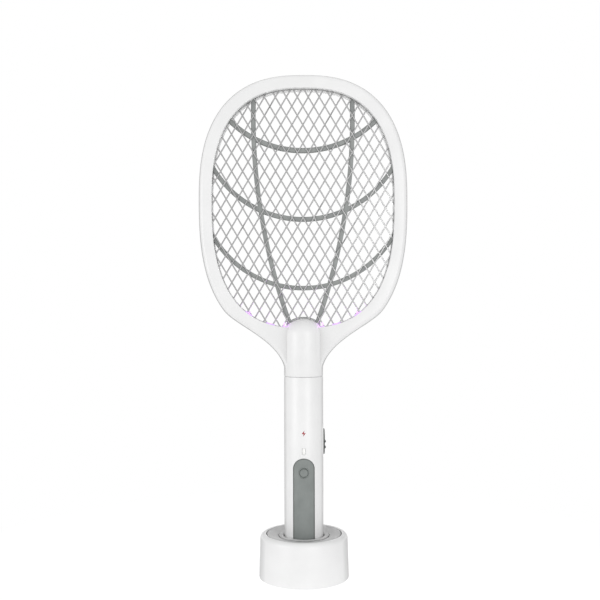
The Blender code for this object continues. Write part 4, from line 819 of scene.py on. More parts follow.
SCREW_BITE = 6.0 * MM
HANDLE_SCREW_SEAT = HANDLE_RADIUS - SCREW_HEAD_HEIGHT - 2 * FIT
upper_screw_z = SEAM_Z - SPIGOT_LENGTH / 2
for side, name in ((-1, "head_front_frame"), (1, "head_rear_frame")):
    half = head_half(side)
    outwards = (0.0, side, 0.0)
    for x, z in screw_places:
        spot = (x, 0.0, z)
        join(half, rod(SCREW_RADIUS + BOSS_WALL, -FIT, CHANNEL_END + HEAD_WALL / 2, spot, outwards))
        deep = SCREW_BITE + FIT if side < 0 else 2 * HEAD_HALF_DEPTH
        cut(half, rod(SCREW_RADIUS + FIT, -BEYOND, deep, spot, outwards))
        if side > 0:
            seat = HEAD_HALF_DEPTH - SCREW_HEAD_HEIGHT - 2 * FIT
            cut(half, rod(SCREW_HEAD_RADIUS + FIT, seat, 2 * HEAD_HALF_DEPTH, spot, outwards))
    if side < 0:
        for lamp_x, length in LAMPS:
            hole = lamp_plug(length, FIT, -LIP, LAMP_SEAT)
            hole.data.transform(lamp_place(lamp_x))
            cut(half, hole)
    else:
        cut(half, rod(SCREW_RADIUS + FIT, -SCREW_BITE, BEYOND, (0.0, HANDLE_SCREW_SEAT, upper_screw_z), outwards))
    keep_within(half, half_space(side))
    finish_piece(half, name + "_shell", "swatter", white_abs, "white_abs", name)

# %% [markdown]
# ## Nets
# Three nets stand one behind the other: two grounded outer ones and a wider-meshed live one in the middle.
# Each is slit and drawn out of one steel sheet, which leaves slanting strands that are tilted a little out
# of the sheet, one family one way and the other the opposite way. A grid with a wireframe modifier would
# give untilted strands, so one long strand is modelled, arrayed to a family, and the two families are joined.
# The nets behind are drawn a hair wider, by up to one part in a hundred, so that from the front their
# strands lie behind those of the front net and the mesh looks single.

# %% Strands
NET_PITCH_WIDE = 11.2 * MM
NET_PITCH_HIGH = 18.9 * MM
NET_KNOT_UP = 20.6 * MM
NET_HIDDEN = 2.6 * MM
STRAND = 1.4 * MM
STRAND_ROUND = 0.2 * MM
STRAND_TILT = math.radians(-0.5)


def strand_family(step, slant):
    """A row of parallel strands, one per mesh, that slant up to the right (+1) or to the left (-1)."""
    wide = NET_PITCH_WIDE * step
    high = NET_PITCH_HIGH * step
    reach = math.ceil(WINDOW_HALF_WIDTH / wide + (WINDOW_RISE + WINDOW_DROP) / high)
    length = 2 * (WINDOW_RISE + WINDOW_DROP)
    slope = math.atan2(high, slant * wide)
    section = oblong(STRAND / 2, -NET_THICKNESS / 2, NET_THICKNESS / 2)
    family = plate(section, -length / 2, length / 2, "X")
    round_edges(family, lambda a, b: abs(a.x - b.x) > length / 2, STRAND_ROUND, segments=1)
    swing = Matrix.Rotation(-slope, 4, "Y") @ Matrix.Rotation(slant * STRAND_TILT, 4, "X")
    start = Vector((-reach * wide, 0.0, WINDOW_Z + NET_KNOT_UP))
    family.data.transform(Matrix.Translation(start) @ swing @ Matrix.Rotation(math.pi / 2, 4, "X"))
    apply_modifier(family, "ARRAY", count=2 * reach + 1, use_relative_offset=False, use_constant_offset=True,
                   constant_offset_displace=(wide, 0.0, 0.0))
    return family


print("strands across the window:", round(2 * WINDOW_HALF_WIDTH / NET_PITCH_WIDE))

# %% Nets with their borders
OUTER_NET_Y = 4.6 * MM


def net(name, middle, step):
    """A net cut to the oval, with a flat border that the two frames clamp."""
    mesh = strand_family(step, 1)
    join(mesh, strand_family(step, -1))
    wider = (middle - CAMERA_PLACE[1]) / (-OUTER_NET_Y - CAMERA_PLACE[1])
    sight = Matrix.Translation((CAMERA_PLACE[0], 0.0, CAMERA_PLACE[2]))
    mesh.data.transform(sight @ Matrix.Diagonal((wider, 1.0, wider, 1.0)) @ sight.inverted())
    trim = (NET_BORDER + NET_HIDDEN) / 2
    keep_within(mesh, plate(window(trim), -BEYOND, BEYOND))
    border = plate(window(NET_BORDER), -NET_THICKNESS / 2, NET_THICKNESS / 2)
    cut(border, plate(window(NET_HIDDEN), -BEYOND, BEYOND))
    join(mesh, border)
    mesh.data.transform(Matrix.Translation((0.0, middle, 0.0)))
    edit(mesh)
    bpy.ops.mesh.dissolve_degenerate(threshold=WELD)
    face_outwards()
    return finish_piece(mesh, name + "_mesh", "swatter", net_steel, "net_steel", name, smooth=0.0)


net("front_net", -OUTER_NET_Y, 1)
net("centre_net", 0.0, 2)
net("rear_net", OUTER_NET_Y, 1)

# %% [markdown]
# ## Rib grids
# Between the nets lie two grey grids that keep them apart: a ring, three sagging arcs, two bowed uprights and
# a thin arch over the neck's dome.
# Each rib is a plate along an arc. Its long edges are rounded before it is joined to the ring, because the
# crossings would leave no clean edge to round afterwards.

# %% Rib grids
RIB_NEAR = 0.7 * MM
RIB_FAR = 3.9 * MM
RIB_WIDTH = 4.6 * MM
RIB_HIDDEN = 2.3 * MM
RIB_END = 0.8 * MM
RIB_ROUND = 0.7 * MM
ARCH_WIDTH = 1.1 * MM
ARCH_SPAN = (33.0, 147.0)
RIB_ROWS_Z = [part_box("front_net")[0].z + up * MM for up in (185.9, 115.4, 44.9)]
RIB_RADIUS = WINDOW_HALF_WIDTH + BAND_SIDE
RIB_SPAN = (-165.0, -15.0)
UPRIGHT_SPREAD = 50.8 * MM
UPRIGHT_RADIUS = 620.0 * MM
UPRIGHT_WIDEST_UP = 85.0 * MM
UPRIGHT_TOP = 4.5
UPRIGHT_FOOT = 21.5
RIB_STEPS = 56


def rib(centre, radius, start, end, side):
    """One curved rib with rounded long edges, cut to the ring."""
    outer = arc(centre, radius + RIB_WIDTH / 2, start, end, RIB_STEPS)
    inner = arc(centre, radius - RIB_WIDTH / 2, end, start, RIB_STEPS)
    strip = plate(outer + inner, side * RIB_NEAR, side * RIB_FAR)
    round_edges(strip, lambda a, b: abs(a.y - b.y) < WELD and abs((a - b).length - RIB_WIDTH) > WELD,
                RIB_ROUND, segments=2)
    keep_within(strip, window_plug(NET_BORDER - RIB_END))
    return strip


def dome_arch(side):
    """The thin rib that follows the neck's dome and ties the feet of the uprights."""
    outline = []
    for grow, (start, end) in ((FIT + ARCH_WIDTH, ARCH_SPAN), (FIT, reversed(ARCH_SPAN))):
        outline += arc((0.0, DOME_LOW), HANDLE_RADIUS + grow, start, end, RIB_STEPS, DOME_RISE + grow)
    arch = plate(outline, side * RIB_NEAR, side * RIB_FAR)
    keep_within(arch, window_plug(NET_BORDER - RIB_END))
    return arch


def rib_grid(name, side):
    """A ring with three arcs, two uprights and the arch over the dome."""
    grid = plate(window(NET_BORDER), side * RIB_NEAR, side * RIB_FAR)
    cut(grid, window_plug(RIB_HIDDEN))
    for lowest in RIB_ROWS_Z:
        join(grid, rib((0.0, lowest + RIB_RADIUS), RIB_RADIUS, *RIB_SPAN, side))
    widest = WINDOW_Z + UPRIGHT_WIDEST_UP
    for way, middle in ((1, 0.0), (-1, 180.0)):
        centre = (way * (UPRIGHT_SPREAD - UPRIGHT_RADIUS), widest)
        join(grid, rib(centre, UPRIGHT_RADIUS, middle - way * UPRIGHT_FOOT, middle + way * UPRIGHT_TOP, side))
    join(grid, dome_arch(side))
    return finish_piece(grid, name + "_moulding", "swatter", grey_abs, "grey_abs", name)


rib_grid("front_rib_grid", -1)
rib_grid("rear_rib_grid", 1)

# %% [markdown]
# ## Violet lamps and screws
# Six violet lamps look through the lower lip into the window and draw insects in. Each is an oblong resin
# body with a rounded face, and a flange behind the lip keeps it from falling out. A weak light in front of
# each, which goes where its lamp goes, tints the strands and ribs nearby. The screws have pan heads
# with a cross recess.

# %% Lamps in the lip
LAMP_FLANGE = 0.3 * MM
LAMP_PROUD = 1.3 * MM
LAMP_ROUND = 0.9 * MM
LAMP_BACK = LAMP_SEAT - 2 * FIT
LIGHT_AHEAD = 3.0 * MM
LIGHT_POWER = 0.0006
LIGHT_TONE = "BE68E0"

for number, (lamp_x, length) in enumerate(LAMPS, start=1):
    lens = lamp_plug(length, 0.0, -LAMP_PROUD, LAMP_BACK - FIT)
    round_edges(lens, lambda a, b: max(a.z, b.z) < -LAMP_PROUD + WELD, LAMP_ROUND, segments=5)
    join(lens, lamp_plug(length, LAMP_FLANGE, LIP + FIT, LAMP_BACK))
    lens.data.transform(lamp_place(lamp_x))
    name = f"violet_lamp_{number}"
    finish_piece(lens, name + "_resin", "swatter", violet_resin, "violet_lamp", name)
    bpy.ops.object.light_add(type="POINT", location=lamp_place(lamp_x) @ Vector((0.0, 0.0, -LIGHT_AHEAD)))
    light = bpy.context.object
    light.name = f"violet_light_{number}"
    light.data.color = linear(LIGHT_TONE)[:3]
    light.data.energy = LIGHT_POWER
    light.data.shadow_soft_size = LAMP_RADIUS
    light.visible_camera = False
    light.parent = lens

# %% Screws
CROSS_ARM = 1.25 * MM
CROSS_WIDTH = 0.5 * MM
CROSS_DEPTH = 0.7 * MM
HEAD_CROWN = 0.45 * MM
HEAD_STEPS = 5


def screw(name, at, towards, length, body):
    """A pan-head screw with a cross recess, its head's underside at a place and its head towards a side."""
    section = [(0.0, -length), (SCREW_RADIUS, -length), (SCREW_RADIUS, 0.0), (SCREW_HEAD_RADIUS, 0.0)]
    section += arc((0.0, SCREW_HEAD_HEIGHT - HEAD_CROWN), SCREW_HEAD_RADIUS, 0, 90, HEAD_STEPS, HEAD_CROWN)
    made = turned(section, HOLE_STEPS)
    for long, short in ((CROSS_ARM, CROSS_WIDTH / 2), (CROSS_WIDTH / 2, CROSS_ARM)):
        arm = oblong(long, -short, short)
        cut(made, plate(arm, SCREW_HEAD_HEIGHT - CROSS_DEPTH, BEYOND, "Z"))
    aim(made, at, towards)
    return finish_piece(made, name + "_steel", body, screw_steel, "screw_steel", name)


head_screw_seat = HEAD_HALF_DEPTH - SCREW_HEAD_HEIGHT - FIT
for number, (x, z) in enumerate(screw_places, start=1):
    screw(f"head_screw_{number}", (x, head_screw_seat, z), TO_REAR, head_screw_seat + SCREW_BITE, "swatter")
END_CAP_THICKNESS = 5.0 * MM
lower_screw_z = HANDLE_LOW + FIT + END_CAP_THICKNESS / 2
HANDLE_WALL = HANDLE_RADIUS - BORE
for name, z, length in (("handle_screw_lower", lower_screw_z, SCREW_BITE),
                        ("handle_screw_upper", upper_screw_z, HANDLE_WALL + SPIGOT_WALL)):
    screw(name, (0.0, HANDLE_SCREW_SEAT, z), TO_REAR, length, "swatter")

# %% [markdown]
# ## Handle: two shells
# The handle is a tube in two halves, screwed together from behind. The front half has an arched recess for
# the grip panel and holes for the button and the two signs, and both halves share the switch's opening.
# The tube is turned with softly rounded ends, then cut, so that its round stays true everywhere.

# %% Openings of the handle
PANEL_WIDTH = 21.3 * MM
PANEL_TOP_UP = 106.2 * MM
PANEL_BOTTOM_UP = 6.0 * MM
PANEL_THICKNESS = 1.1 * MM
ARCH_STEPS = 40
BUTTON_Z = HANDLE_LOW + 91.7 * MM
BUTTON_RADIUS = 5.5 * MM
BUTTON_FIT = 0.1 * MM
BUTTON_STEPS = 64
BOARD_SETBACK = 6.0 * MM


def panel_shape(grow, inner, outer):
    """An arched plate wrapped on the handle's front, between two radii."""
    half = PANEL_WIDTH / 2
    low = HANDLE_LOW + PANEL_BOTTOM_UP - grow
    high = HANDLE_LOW + PANEL_TOP_UP + grow
    arch = [(-half - grow, low), (half + grow, low)]
    arch += arc((0.0, HANDLE_LOW + PANEL_TOP_UP - half), half + grow, 0, 180, ARCH_STEPS)
    shape = turned([(outer, low), (outer, high), (inner, high), (inner, low)], ROUND_STEPS)
    keep_within(shape, plate(arch, -2 * HANDLE_RADIUS, -FIT))
    return shape


def button_hole():
    return rod(BUTTON_RADIUS + BUTTON_FIT, BOARD_SETBACK, 2 * HANDLE_RADIUS, (0.0, 0.0, BUTTON_Z), TO_FRONT,
               BUTTON_STEPS)


print("button height in mm:", round(BUTTON_Z / MM, 1))

# %% Outlines of the two signs
BOLT_Z = HANDLE_LOW + 131.5 * MM
BOLT_WIDTH = 4.0 * MM
BOLT_HEIGHT = 6.2 * MM
BOLT_TIP = 0.35
BOLT_WAIST = 0.15
BOLT_NOTCH = 0.05
CELL_Z = HANDLE_LOW + 113.4 * MM
CELL_WIDTH = 3.3 * MM
CELL_HEIGHT = 6.3 * MM
CELL_CORNER = 0.8 * MM
CELL_STEPS = 6
SIGN_FIT = 0.12 * MM
CELL_INSET = 0.1 * MM


def bolt_outline(grow=0.0):
    """A plain lightning bolt, the usual sign for a charge in progress."""
    half = BOLT_WIDTH / 2 + grow
    tall = BOLT_HEIGHT / 2 + grow
    waist = -BOLT_WAIST * tall
    upper = [(BOLT_TIP * half, tall), (-half, waist), (-BOLT_NOTCH * half, waist)]
    return [(x, z + BOLT_Z) for x, z in upper + [(-x, -z) for x, z in upper]]


def cell_outline(grow=0.0):
    """An upright rounded rectangle, the usual sign for a battery."""
    half = CELL_WIDTH / 2 + grow - CELL_CORNER
    tall = CELL_HEIGHT / 2 + grow - CELL_CORNER
    outline = []
    for start, right, up in ((0, 1, 1), (90, -1, 1), (180, -1, -1), (270, 1, -1)):
        outline += arc((right * half, CELL_Z + up * tall), CELL_CORNER, start, start + 90, CELL_STEPS)
    return outline


print("signs at", round(BOLT_Z / MM, 1), "and", round(CELL_Z / MM, 1), "mm")

# %% Handle shells
cap_low, cap_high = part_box("switch_cap")
SWITCH_TRAVEL = 4.5 * MM
CAP_LENGTH = 26.0 * MM
CAP_WIDTH = 7.6 * MM
SWITCH_Z = (cap_low.z + cap_high.z) / 2
TRACK_LENGTH = CAP_LENGTH + SWITCH_TRAVEL + 4 * FIT
TRACK_WIDTH = CAP_WIDTH + 2 * FIT
TRACK_Z = SWITCH_Z + SWITCH_TRAVEL / 2
BEZEL_RIM = 2.0 * MM
PANEL_SEAT = HANDLE_RADIUS - PANEL_THICKNESS - FIT
END_ROUND = 0.5 * MM


def track_outline(grow=0.0):
    """The edge of the switch's track, moved outwards by a margin."""
    return stadium(TRACK_LENGTH + 2 * grow, TRACK_WIDTH + 2 * grow, TRACK_Z)


def handle_half(side):
    """Half of the handle's tube, open for the switch."""
    section = [(BORE, HANDLE_LOW), *rounded(HANDLE_RADIUS, HANDLE_LOW, END_ROUND, -90, 0),
               *rounded(HANDLE_RADIUS, HANDLE_TOP, SEAM_ROUND, 0, 90, SEAM_STEPS), (BORE, HANDLE_TOP)]
    half = turned(section, ROUND_STEPS)
    cut(half, plate(track_outline(BEZEL_RIM + FIT), HANDLE_RADIUS / 2, 2 * HANDLE_RADIUS, "X"))
    keep_within(half, half_space(side))
    return half


front = handle_half(-1)
cut(front, panel_shape(FIT, PANEL_SEAT, HANDLE_RADIUS + BEYOND), button_hole(),
    plate(bolt_outline(SIGN_FIT), -2 * HANDLE_RADIUS, -BOARD_SETBACK),
    plate(cell_outline(SIGN_FIT), -2 * HANDLE_RADIUS, -BOARD_SETBACK))
finish_piece(front, "handle_front_moulding", "swatter", white_abs, "white_abs", "handle_front_shell")
rear = handle_half(1)
for z in (lower_screw_z, upper_screw_z):
    seat = (0.0, HANDLE_SCREW_SEAT, z)
    cut(rear, rod(SCREW_RADIUS + FIT, -BEYOND, BEYOND, seat, TO_REAR),
        rod(SCREW_HEAD_RADIUS + FIT, -FIT, BEYOND, seat, TO_REAR))
finish_piece(rear, "handle_rear_moulding", "swatter", white_abs, "white_abs", "handle_rear_shell")

# %% [markdown]
# ## Grip panel, button and signs
# The grip panel is a thin shell that lies flush in its recess, with a lowered edge that reads as a dark line
# round it, and a hole for the button. The button's face continues the handle's round, so it is a round bar cut
# by that round, with a ring groove that the thumb can feel.
# The signs are small plugs with softened faces.

# %% Grip panel
PANEL_STEP = 0.7 * MM
PANEL_EDGE = 0.8 * MM
PANEL_SOFT = 0.15 * MM

panel = panel_shape(0.0, HANDLE_RADIUS - PANEL_THICKNESS, HANDLE_RADIUS - PANEL_STEP)
join(panel, panel_shape(-PANEL_EDGE, HANDLE_RADIUS - PANEL_STEP - FIT, HANDLE_RADIUS))
cut(panel, button_hole())
soften(panel, PANEL_SOFT)
finish_piece(panel, "grip_panel_shell", "swatter", soft_grip, "soft_grip", "grip_panel")

# %% Press button
BUTTON_FLANGE = 1.2 * MM
BUTTON_STEM = 2.0 * MM
RING_RADIUS = 4.4 * MM
RING_HALF = 1.0 * MM
RING_DEPTH = 1.4 * MM

button_tip = -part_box("grip_button")[1].y
button_seat = math.sqrt(BORE ** 2 - (BUTTON_RADIUS + BUTTON_FLANGE) ** 2) - FIT
outside = HANDLE_RADIUS + BEYOND
flange = BUTTON_RADIUS + BUTTON_FLANGE
button = turned([(0.0, button_tip), (BUTTON_STEM, button_tip), (BUTTON_STEM, button_seat - BUTTON_FLANGE),
                 (flange, button_seat - BUTTON_FLANGE), (flange, button_seat), (BUTTON_RADIUS, button_seat),
                 (BUTTON_RADIUS, outside), (0.0, outside)], BUTTON_STEPS, (0.0, 0.0, BUTTON_Z), TO_FRONT)
keep_within(button, rod(HANDLE_RADIUS, HANDLE_LOW, HANDLE_TOP, steps=2 * ROUND_STEPS))
thumb_ring = [(RING_RADIUS - RING_HALF, outside), (RING_RADIUS - RING_HALF, HANDLE_RADIUS),
              (RING_RADIUS, HANDLE_RADIUS - RING_DEPTH),
              (RING_RADIUS + RING_HALF, HANDLE_RADIUS), (RING_RADIUS + RING_HALF, outside)]
cut(button, turned(thumb_ring, BUTTON_STEPS, (0.0, 0.0, BUTTON_Z), TO_FRONT))
finish_piece(button, "grip_button_moulding", "trigger", soft_grip, "soft_grip", "grip_button")

# %% Signs
SIGN_SOFT = 0.12 * MM

for name, outline, material, slot in (("charge_lens", bolt_outline(), red_resin, "red_lens"),
                                      ("cell_lens", cell_outline(-CELL_INSET), milk_resin, "milk_lens")):
    low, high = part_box(name)
    sign = plate(outline, low.y, high.y)
    soften(sign, SIGN_SOFT)
    finish_piece(sign, name + "_plug", "swatter", material, slot, name)

# %% [markdown]
# ## Slide switch
# On the right side a nearly flush white bezel holds a track, and a grey thumb piece slides in it. Both are plates
# with round ends whose outer edges are bevelled. The thumb piece is crowned along its length, which a large
# round cuts, and two ridges across it give the thumb its hold.

# %% Bezel
BEZEL_FACE = HANDLE_RADIUS + 0.1 * MM
BEZEL_DEPTH = 3.2 * MM
BEZEL_ROUND = 0.8 * MM
TRACK_FACE = HANDLE_RADIUS - 1.1 * MM
STEM_WIDTH = 2.4 * MM
STEM_LENGTH = 3.0 * MM


def upper_edges(face):
    """A test for the edges that lie on a face that looks along +X."""
    return lambda a, b: min(a.x, b.x) > face - WELD


bezel = plate(track_outline(BEZEL_RIM), BEZEL_FACE - BEZEL_DEPTH, BEZEL_FACE, "X")
round_edges(bezel, upper_edges(BEZEL_FACE), BEZEL_ROUND, segments=5)
stem_slot = oblong(STEM_WIDTH / 2 + FIT, SWITCH_Z - STEM_LENGTH / 2 - FIT,
                   SWITCH_Z + STEM_LENGTH / 2 + SWITCH_TRAVEL + FIT)
cut(bezel, plate(track_outline(), TRACK_FACE, 2 * HANDLE_RADIUS, "X"),
    plate(stem_slot, 0.0, 2 * HANDLE_RADIUS, "X"))
finish_piece(bezel, "switch_bezel_moulding", "swatter", white_abs, "white_abs", "switch_bezel")

# %% Thumb piece
CAP_FACE = HANDLE_RADIUS + 1.7 * MM
CAP_ROUND = 0.85 * MM
CAP_CROWN = 0.45 * MM
CROWN_STEPS = 40
RIDGE_RISE = 1.0 * MM
RIDGE_WIDTH = 2.2 * MM
RIDGE_LENGTH = 6.4 * MM
RIDGE_DROPS = (0.0, 5.9 * MM)
RIDGE_STEPS = 12
RIDGE_SOFT = 0.3 * MM

thumb = plate(stadium(CAP_LENGTH, CAP_WIDTH, SWITCH_Z), TRACK_FACE + FIT, CAP_FACE, "X")
round_edges(thumb, upper_edges(CAP_FACE), CAP_ROUND, segments=5)
hump_radius = (CAP_LENGTH / 2) ** 2 / (2 * CAP_CROWN)
hump_turn = math.degrees(CAP_LENGTH / hump_radius)
hump = arc((CAP_FACE - hump_radius, SWITCH_Z), hump_radius, -hump_turn, hump_turn, CROWN_STEPS)
hump += [(0.0, hump[-1][1]), (0.0, hump[0][1])]
keep_within(thumb, plate(hump, -CAP_WIDTH, CAP_WIDTH))
for drop in RIDGE_DROPS:
    z = SWITCH_Z - drop
    crest = CAP_FACE + RIDGE_RISE - RIDGE_WIDTH / 2
    ridge = [(CAP_FACE - RIDGE_RISE, z + RIDGE_WIDTH / 2), (CAP_FACE - RIDGE_RISE, z - RIDGE_WIDTH / 2)]
    ridge += arc((crest, z), RIDGE_WIDTH / 2, -90, 90, RIDGE_STEPS)
    bar = plate(ridge, -RIDGE_LENGTH / 2, RIDGE_LENGTH / 2)
    soften(bar, RIDGE_SOFT, angle=60.0)
    join(thumb, bar)
stem = oblong(STEM_WIDTH / 2, SWITCH_Z - STEM_LENGTH / 2, SWITCH_Z + STEM_LENGTH / 2)
join(thumb, plate(stem, cap_low.x, TRACK_FACE + 2 * FIT, "X"))
finish_piece(thumb, "switch_cap_moulding", "mode_switch", switch_abs, "grey_abs", "switch_cap")

# %% [markdown]
# ## End cap and charging pads
# The handle's lower end is closed by a cap with two gold pads, which meet the dock's pins. They show when the
# swatter is lifted out. All three are turned, and the pads have softly rounded rims.

# %% End cap and pads
PAD_SPREAD = 7.0 * MM
PAD_SIDES = (("left", -PAD_SPREAD), ("right", PAD_SPREAD))
PAD_RADIUS = 2.6 * MM
PAD_THICKNESS = 1.0 * MM
PAD_ROUND = 0.25 * MM
END_SOFT = 0.4 * MM

cap_bottom = HANDLE_LOW + FIT
end_cap = rod(BORE - FIT, cap_bottom, cap_bottom + END_CAP_THICKNESS, steps=ROUND_STEPS)
soften(end_cap, END_SOFT, segments=3)
for _, x in PAD_SIDES:
    cut(end_cap, rod(PAD_RADIUS + FIT, -BEYOND, PAD_THICKNESS + 2 * FIT, (x, 0.0, cap_bottom)))
cut(end_cap, rod(SCREW_RADIUS + FIT, -SCREW_BITE - FIT, BEYOND, (0.0, HANDLE_SCREW_SEAT, lower_screw_z), TO_REAR))
finish_piece(end_cap, "handle_end_cap_moulding", "swatter", white_abs, "white_abs", "handle_end_cap")
for side, x in PAD_SIDES:
    name = f"charge_pad_{side}"
    pad_low = cap_bottom + FIT
    section = [(0.0, pad_low), *rounded(PAD_RADIUS, pad_low, PAD_ROUND, -90, 0),
               (PAD_RADIUS, pad_low + PAD_THICKNESS), (0.0, pad_low + PAD_THICKNESS)]
    pad = turned(section, HOLE_STEPS, (x, 0.0, 0.0))
    finish_piece(pad, name + "_disc", "swatter", gold, "gold_contact", name)

# %% [markdown]
# ## Dock: cup, plate and well
# The dock is a tapered cup with a softly rounded rim. A grey plate dips from the rim towards its middle, where
# a collar rises out of a narrow groove round the well that takes the handle. All of it is round, so each piece
# is one section spun about the upright axis, with its small roundings drawn in the section.

# %% Cup
base_low, base_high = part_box("base_shell")
BASE_RADIUS = base_high.x
BASE_LIFT = base_low.z
BASE_TOP_RADIUS = 44.7 * MM
BASE_HEIGHT = base_high.z
BASE_WALL = 2.2 * MM
RIM_ROUND = 4.6 * MM
RIM_STEPS = 14
RIM_WIDTH = 6.3 * MM
RIM_LIP = 0.6 * MM
PLATE_RECESS = 2.4 * MM
PLATE_THICKNESS = 1.8 * MM
LEDGE = 2.2 * MM
FOOT_EDGE = 0.6 * MM
BASE_STEPS = 160
PLATE_RADIUS = BASE_TOP_RADIUS - RIM_WIDTH
PLATE_TOP = BASE_HEIGHT - PLATE_RECESS
inlet_low, inlet_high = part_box("charging_inlet")
INLET_Z = (inlet_low.z + inlet_high.z) / 2
INLET_MOUTH = inlet_high.y
INLET_WIDTH = 8.9 * MM
INLET_HEIGHT = 3.2 * MM
PLUG_MARGIN = 1.7 * MM


def inlet_outline(grow=0.0):
    """The edge of the inlet, moved outwards by a margin."""
    return lying(stadium(INLET_WIDTH + 2 * grow, INLET_HEIGHT + 2 * grow, 0.0), INLET_Z)


mouth = PLATE_RADIUS + FIT
ledge_top = PLATE_TOP - PLATE_THICKNESS - FIT
section = [*rounded(BASE_RADIUS, BASE_LIFT, FOOT_EDGE, -90, 0),
           *rounded(BASE_TOP_RADIUS, BASE_HEIGHT, RIM_ROUND, 0, 90, RIM_STEPS),
           *rounded(mouth, BASE_HEIGHT, RIM_LIP, 90, 180),
           (mouth, ledge_top), (mouth - LEDGE, ledge_top), (mouth - LEDGE, ledge_top - LEDGE),
           (BASE_TOP_RADIUS - BASE_WALL, ledge_top - LEDGE), (BASE_RADIUS - BASE_WALL, BASE_LIFT)]
cup = turned(section, BASE_STEPS)
cut(cup, plate(inlet_outline(PLUG_MARGIN), INLET_MOUTH - BASE_WALL, 2 * BASE_RADIUS))
finish_piece(cup, "base_shell_moulding", "dock", white_abs, "white_abs", "base_shell")

# %% Recessed plate and well
WELL_RADIUS = HANDLE_RADIUS + 0.7 * MM
WELL_WALL = 2.0 * MM
COLLAR_WIDTH = 4.8 * MM
COLLAR_RISE = 0.9 * MM
COLLAR_SLOPE = 1.4 * MM
SLOPE_STEPS = 6
COLLAR_ROUND = 0.45 * MM
GROOVE_WIDTH = 0.8 * MM
GROOVE_DEPTH = 1.0 * MM
PLATE_GAP = 0.6 * MM
PLATE_DISH = 2.1 * MM
FLOOR_TOP = HANDLE_LOW - FIT
FLOOR_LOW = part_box("base_top_plate")[0].z
PIN_RADIUS = 1.1 * MM
PIN_PLAY = 0.4 * MM

collar = WELL_RADIUS + COLLAR_WIDTH
crown = PLATE_TOP + COLLAR_RISE
well_outer = WELL_RADIUS + WELL_WALL
section = [(0.0, FLOOR_TOP), (WELL_RADIUS, FLOOR_TOP), (WELL_RADIUS, crown - COLLAR_SLOPE)]
section += rounded(WELL_RADIUS, crown, COLLAR_SLOPE, 180, 90, SLOPE_STEPS)
section += rounded(collar, crown, COLLAR_ROUND, 90, 0)
groove = collar + GROOVE_WIDTH
section += [(collar, PLATE_TOP - GROOVE_DEPTH), (groove, PLATE_TOP - GROOVE_DEPTH), (groove, PLATE_TOP)]
plate_edge = PLATE_RADIUS - PLATE_GAP
section += rounded(plate_edge, PLATE_TOP + PLATE_DISH, COLLAR_ROUND, 90, 0)
section += [(plate_edge, PLATE_TOP - PLATE_THICKNESS), (well_outer, PLATE_TOP - PLATE_THICKNESS),
            (well_outer, FLOOR_LOW), (0.0, FLOOR_LOW)]
top_plate = turned(section, BASE_STEPS)
for _, x in PAD_SIDES:
    cut(top_plate, rod(PIN_RADIUS + PIN_PLAY, FLOOR_LOW - BEYOND, FLOOR_TOP + BEYOND, (x, 0.0, 0.0)))
finish_piece(top_plate, "base_top_plate_moulding", "dock", pale_abs, "pale_grey_abs", "base_top_plate")

# %% Bottom plate and rubber ring
bottom_low, bottom_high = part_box("base_bottom_plate")
ring_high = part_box("base_foot_ring")[1]
FOOT_WIDTH = 6.0 * MM
RING_ROUND = 0.6 * MM
BOTTOM_THICKNESS = 3.5 * MM
BASE_SCREW_TURNS = [math.radians(turn) for turn in (30.0, 150.0, 270.0)]

ring_outer = ring_high.x
ring_inner = ring_outer - FOOT_WIDTH
ring_seat = ring_high.z + FIT
bottom_edge = bottom_high.x
bottom_top = bottom_low.z + BOTTOM_THICKNESS
section = [(0.0, bottom_top), (bottom_edge, bottom_top), (bottom_edge, bottom_low.z + FIT),
           (bottom_edge - FIT, bottom_low.z), (ring_outer + FIT, bottom_low.z), (ring_outer + FIT, ring_seat),
           (ring_inner - FIT, ring_seat), (ring_inner - FIT, bottom_low.z), (0.0, bottom_low.z)]
bottom = turned(section, BASE_STEPS)
screw_radius = (ring_outer + ring_inner) / 2
for turn in BASE_SCREW_TURNS:
    spot = (screw_radius * math.cos(turn), screw_radius * math.sin(turn), 0.0)
    cut(bottom, rod(SCREW_HEAD_RADIUS + FIT, 0.0, bottom_top + BEYOND, spot))
finish_piece(bottom, "base_bottom_plate_moulding", "dock", white_abs, "white_abs", "base_bottom_plate")
section = [*rounded(ring_outer, 0.0, RING_ROUND, -90, 0), (ring_outer, ring_high.z), (ring_inner, ring_high.z),
           *rounded(ring_inner, 0.0, RING_ROUND, 180, 270)]
foot_ring = turned(section, BASE_STEPS)
finish_piece(foot_ring, "base_foot_ring_rubber", "dock", rubber, "rubber", "base_foot_ring")

# %% [markdown]
# ## Charging inlet, pins and springs
# A small metal socket sits in a recess at the back of the dock. In the well two gold pins stand on springs, so
# that they keep in touch with the pads. The pins are turned with round tips, and each spring is a tube drawn
# along a helix.

# %% Inlet
INLET_WALL = 0.35 * MM
INLET_TONGUE = 0.7 * MM
INLET_SOFT = 0.1 * MM

socket = plate(inlet_outline(), inlet_low.y, INLET_MOUTH)
cut(socket, plate(inlet_outline(-INLET_WALL), inlet_low.y + 2 * INLET_WALL, INLET_MOUTH + BEYOND))
soften(socket, INLET_SOFT)
tongue = oblong((INLET_WIDTH - INLET_HEIGHT) / 2, INLET_Z - INLET_TONGUE / 2, INLET_Z + INLET_TONGUE / 2)
join(socket, plate(tongue, inlet_low.y + INLET_WALL, INLET_MOUTH - 3 * INLET_WALL))
finish_piece(socket, "charging_inlet_socket", "dock", screw_steel, "screw_steel", "charging_inlet")

# %% Pins
PIN_COLLAR_RADIUS = 1.8 * MM
PIN_COLLAR_HEIGHT = 1.0 * MM
TIP_STEPS = 8

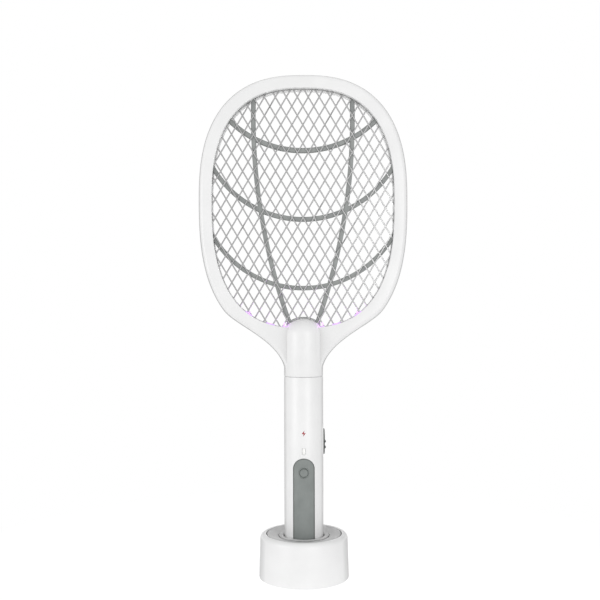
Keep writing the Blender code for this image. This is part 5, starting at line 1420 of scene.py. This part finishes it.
for side, x in PAD_SIDES:
    name = f"contact_pin_{side}"
    pin_low, pin_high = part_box(name)
    collar_top = pin_low.z + PIN_COLLAR_HEIGHT
    section = [(0.0, pin_low.z), (PIN_COLLAR_RADIUS, pin_low.z), (PIN_COLLAR_RADIUS, collar_top),
               (PIN_RADIUS, collar_top)]
    section += arc((0.0, pin_high.z - PIN_RADIUS), PIN_RADIUS, 0, 90, TIP_STEPS)
    pin = turned(section, HOLE_STEPS, (x, 0.0, 0.0))
    finish_piece(pin, name + "_plunger", f"pin_{side}", gold, "gold_contact", name)

# %% Springs
SPRING_WIRE = 0.22 * MM
SPRING_TURNS = 3.5
TURN_POINTS = 24

for side, x in PAD_SIDES:
    name = f"pin_spring_{side}"
    low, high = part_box(name)
    start = low.z + SPRING_WIRE
    rise = high.z - SPRING_WIRE - start
    radius = PIN_COLLAR_RADIUS - SPRING_WIRE
    count = round(SPRING_TURNS * TURN_POINTS)
    select_only()
    bpy.ops.curve.primitive_nurbs_path_add()
    helix = bpy.context.object
    helix.data.splines.clear()
    wire = helix.data.splines.new("POLY")
    wire.points.add(count)
    for i, point in enumerate(wire.points):
        turn = math.tau * i / TURN_POINTS
        point.co = (x + radius * math.cos(turn), radius * math.sin(turn), start + rise * i / count, 1.0)
    helix.data.bevel_depth = SPRING_WIRE
    helix.data.bevel_resolution = 2
    helix.data.use_fill_caps = True
    select_only(helix)
    bpy.ops.object.convert(target="MESH")
    coil = bpy.context.object
    edit(coil)
    face_outwards()
    finish_piece(coil, name + "_coil", f"pin_{side}", screw_steel, "screw_steel", name)
    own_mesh(coil)

# %% [markdown]
# ## Parts inside
# The boards, the cell, the transformer and the rest are closed in by the shells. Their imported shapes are
# right as they are, so they only get a real finish each.

# %% Finishes of the parts inside
hidden = {
    "lamp_strip": circuit_board, "main_board": circuit_board, "dock_board": circuit_board,
    "front_net_lead": black_sleeve, "rear_net_lead": black_sleeve, "centre_net_lead": red_sleeve,
    "battery_cell": film_blue, "battery_cradle": black_abs, "hv_transformer": copper, "hv_capacitor": red_resin,
    "press_switch": black_abs, "press_switch_plunger": black_abs, "slide_switch": screw_steel,
    "switch_lever": black_abs, "charge_lamp": milk_resin, "cell_lamp": milk_resin, "contact_block": black_abs,
    "base_screw_1": screw_steel, "base_screw_2": screw_steel, "base_screw_3": screw_steel,
}
for name, material in hidden.items():
    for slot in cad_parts[name].material_slots:
        slot.material = material
print("packed nodes with a new finish:", len(hidden))
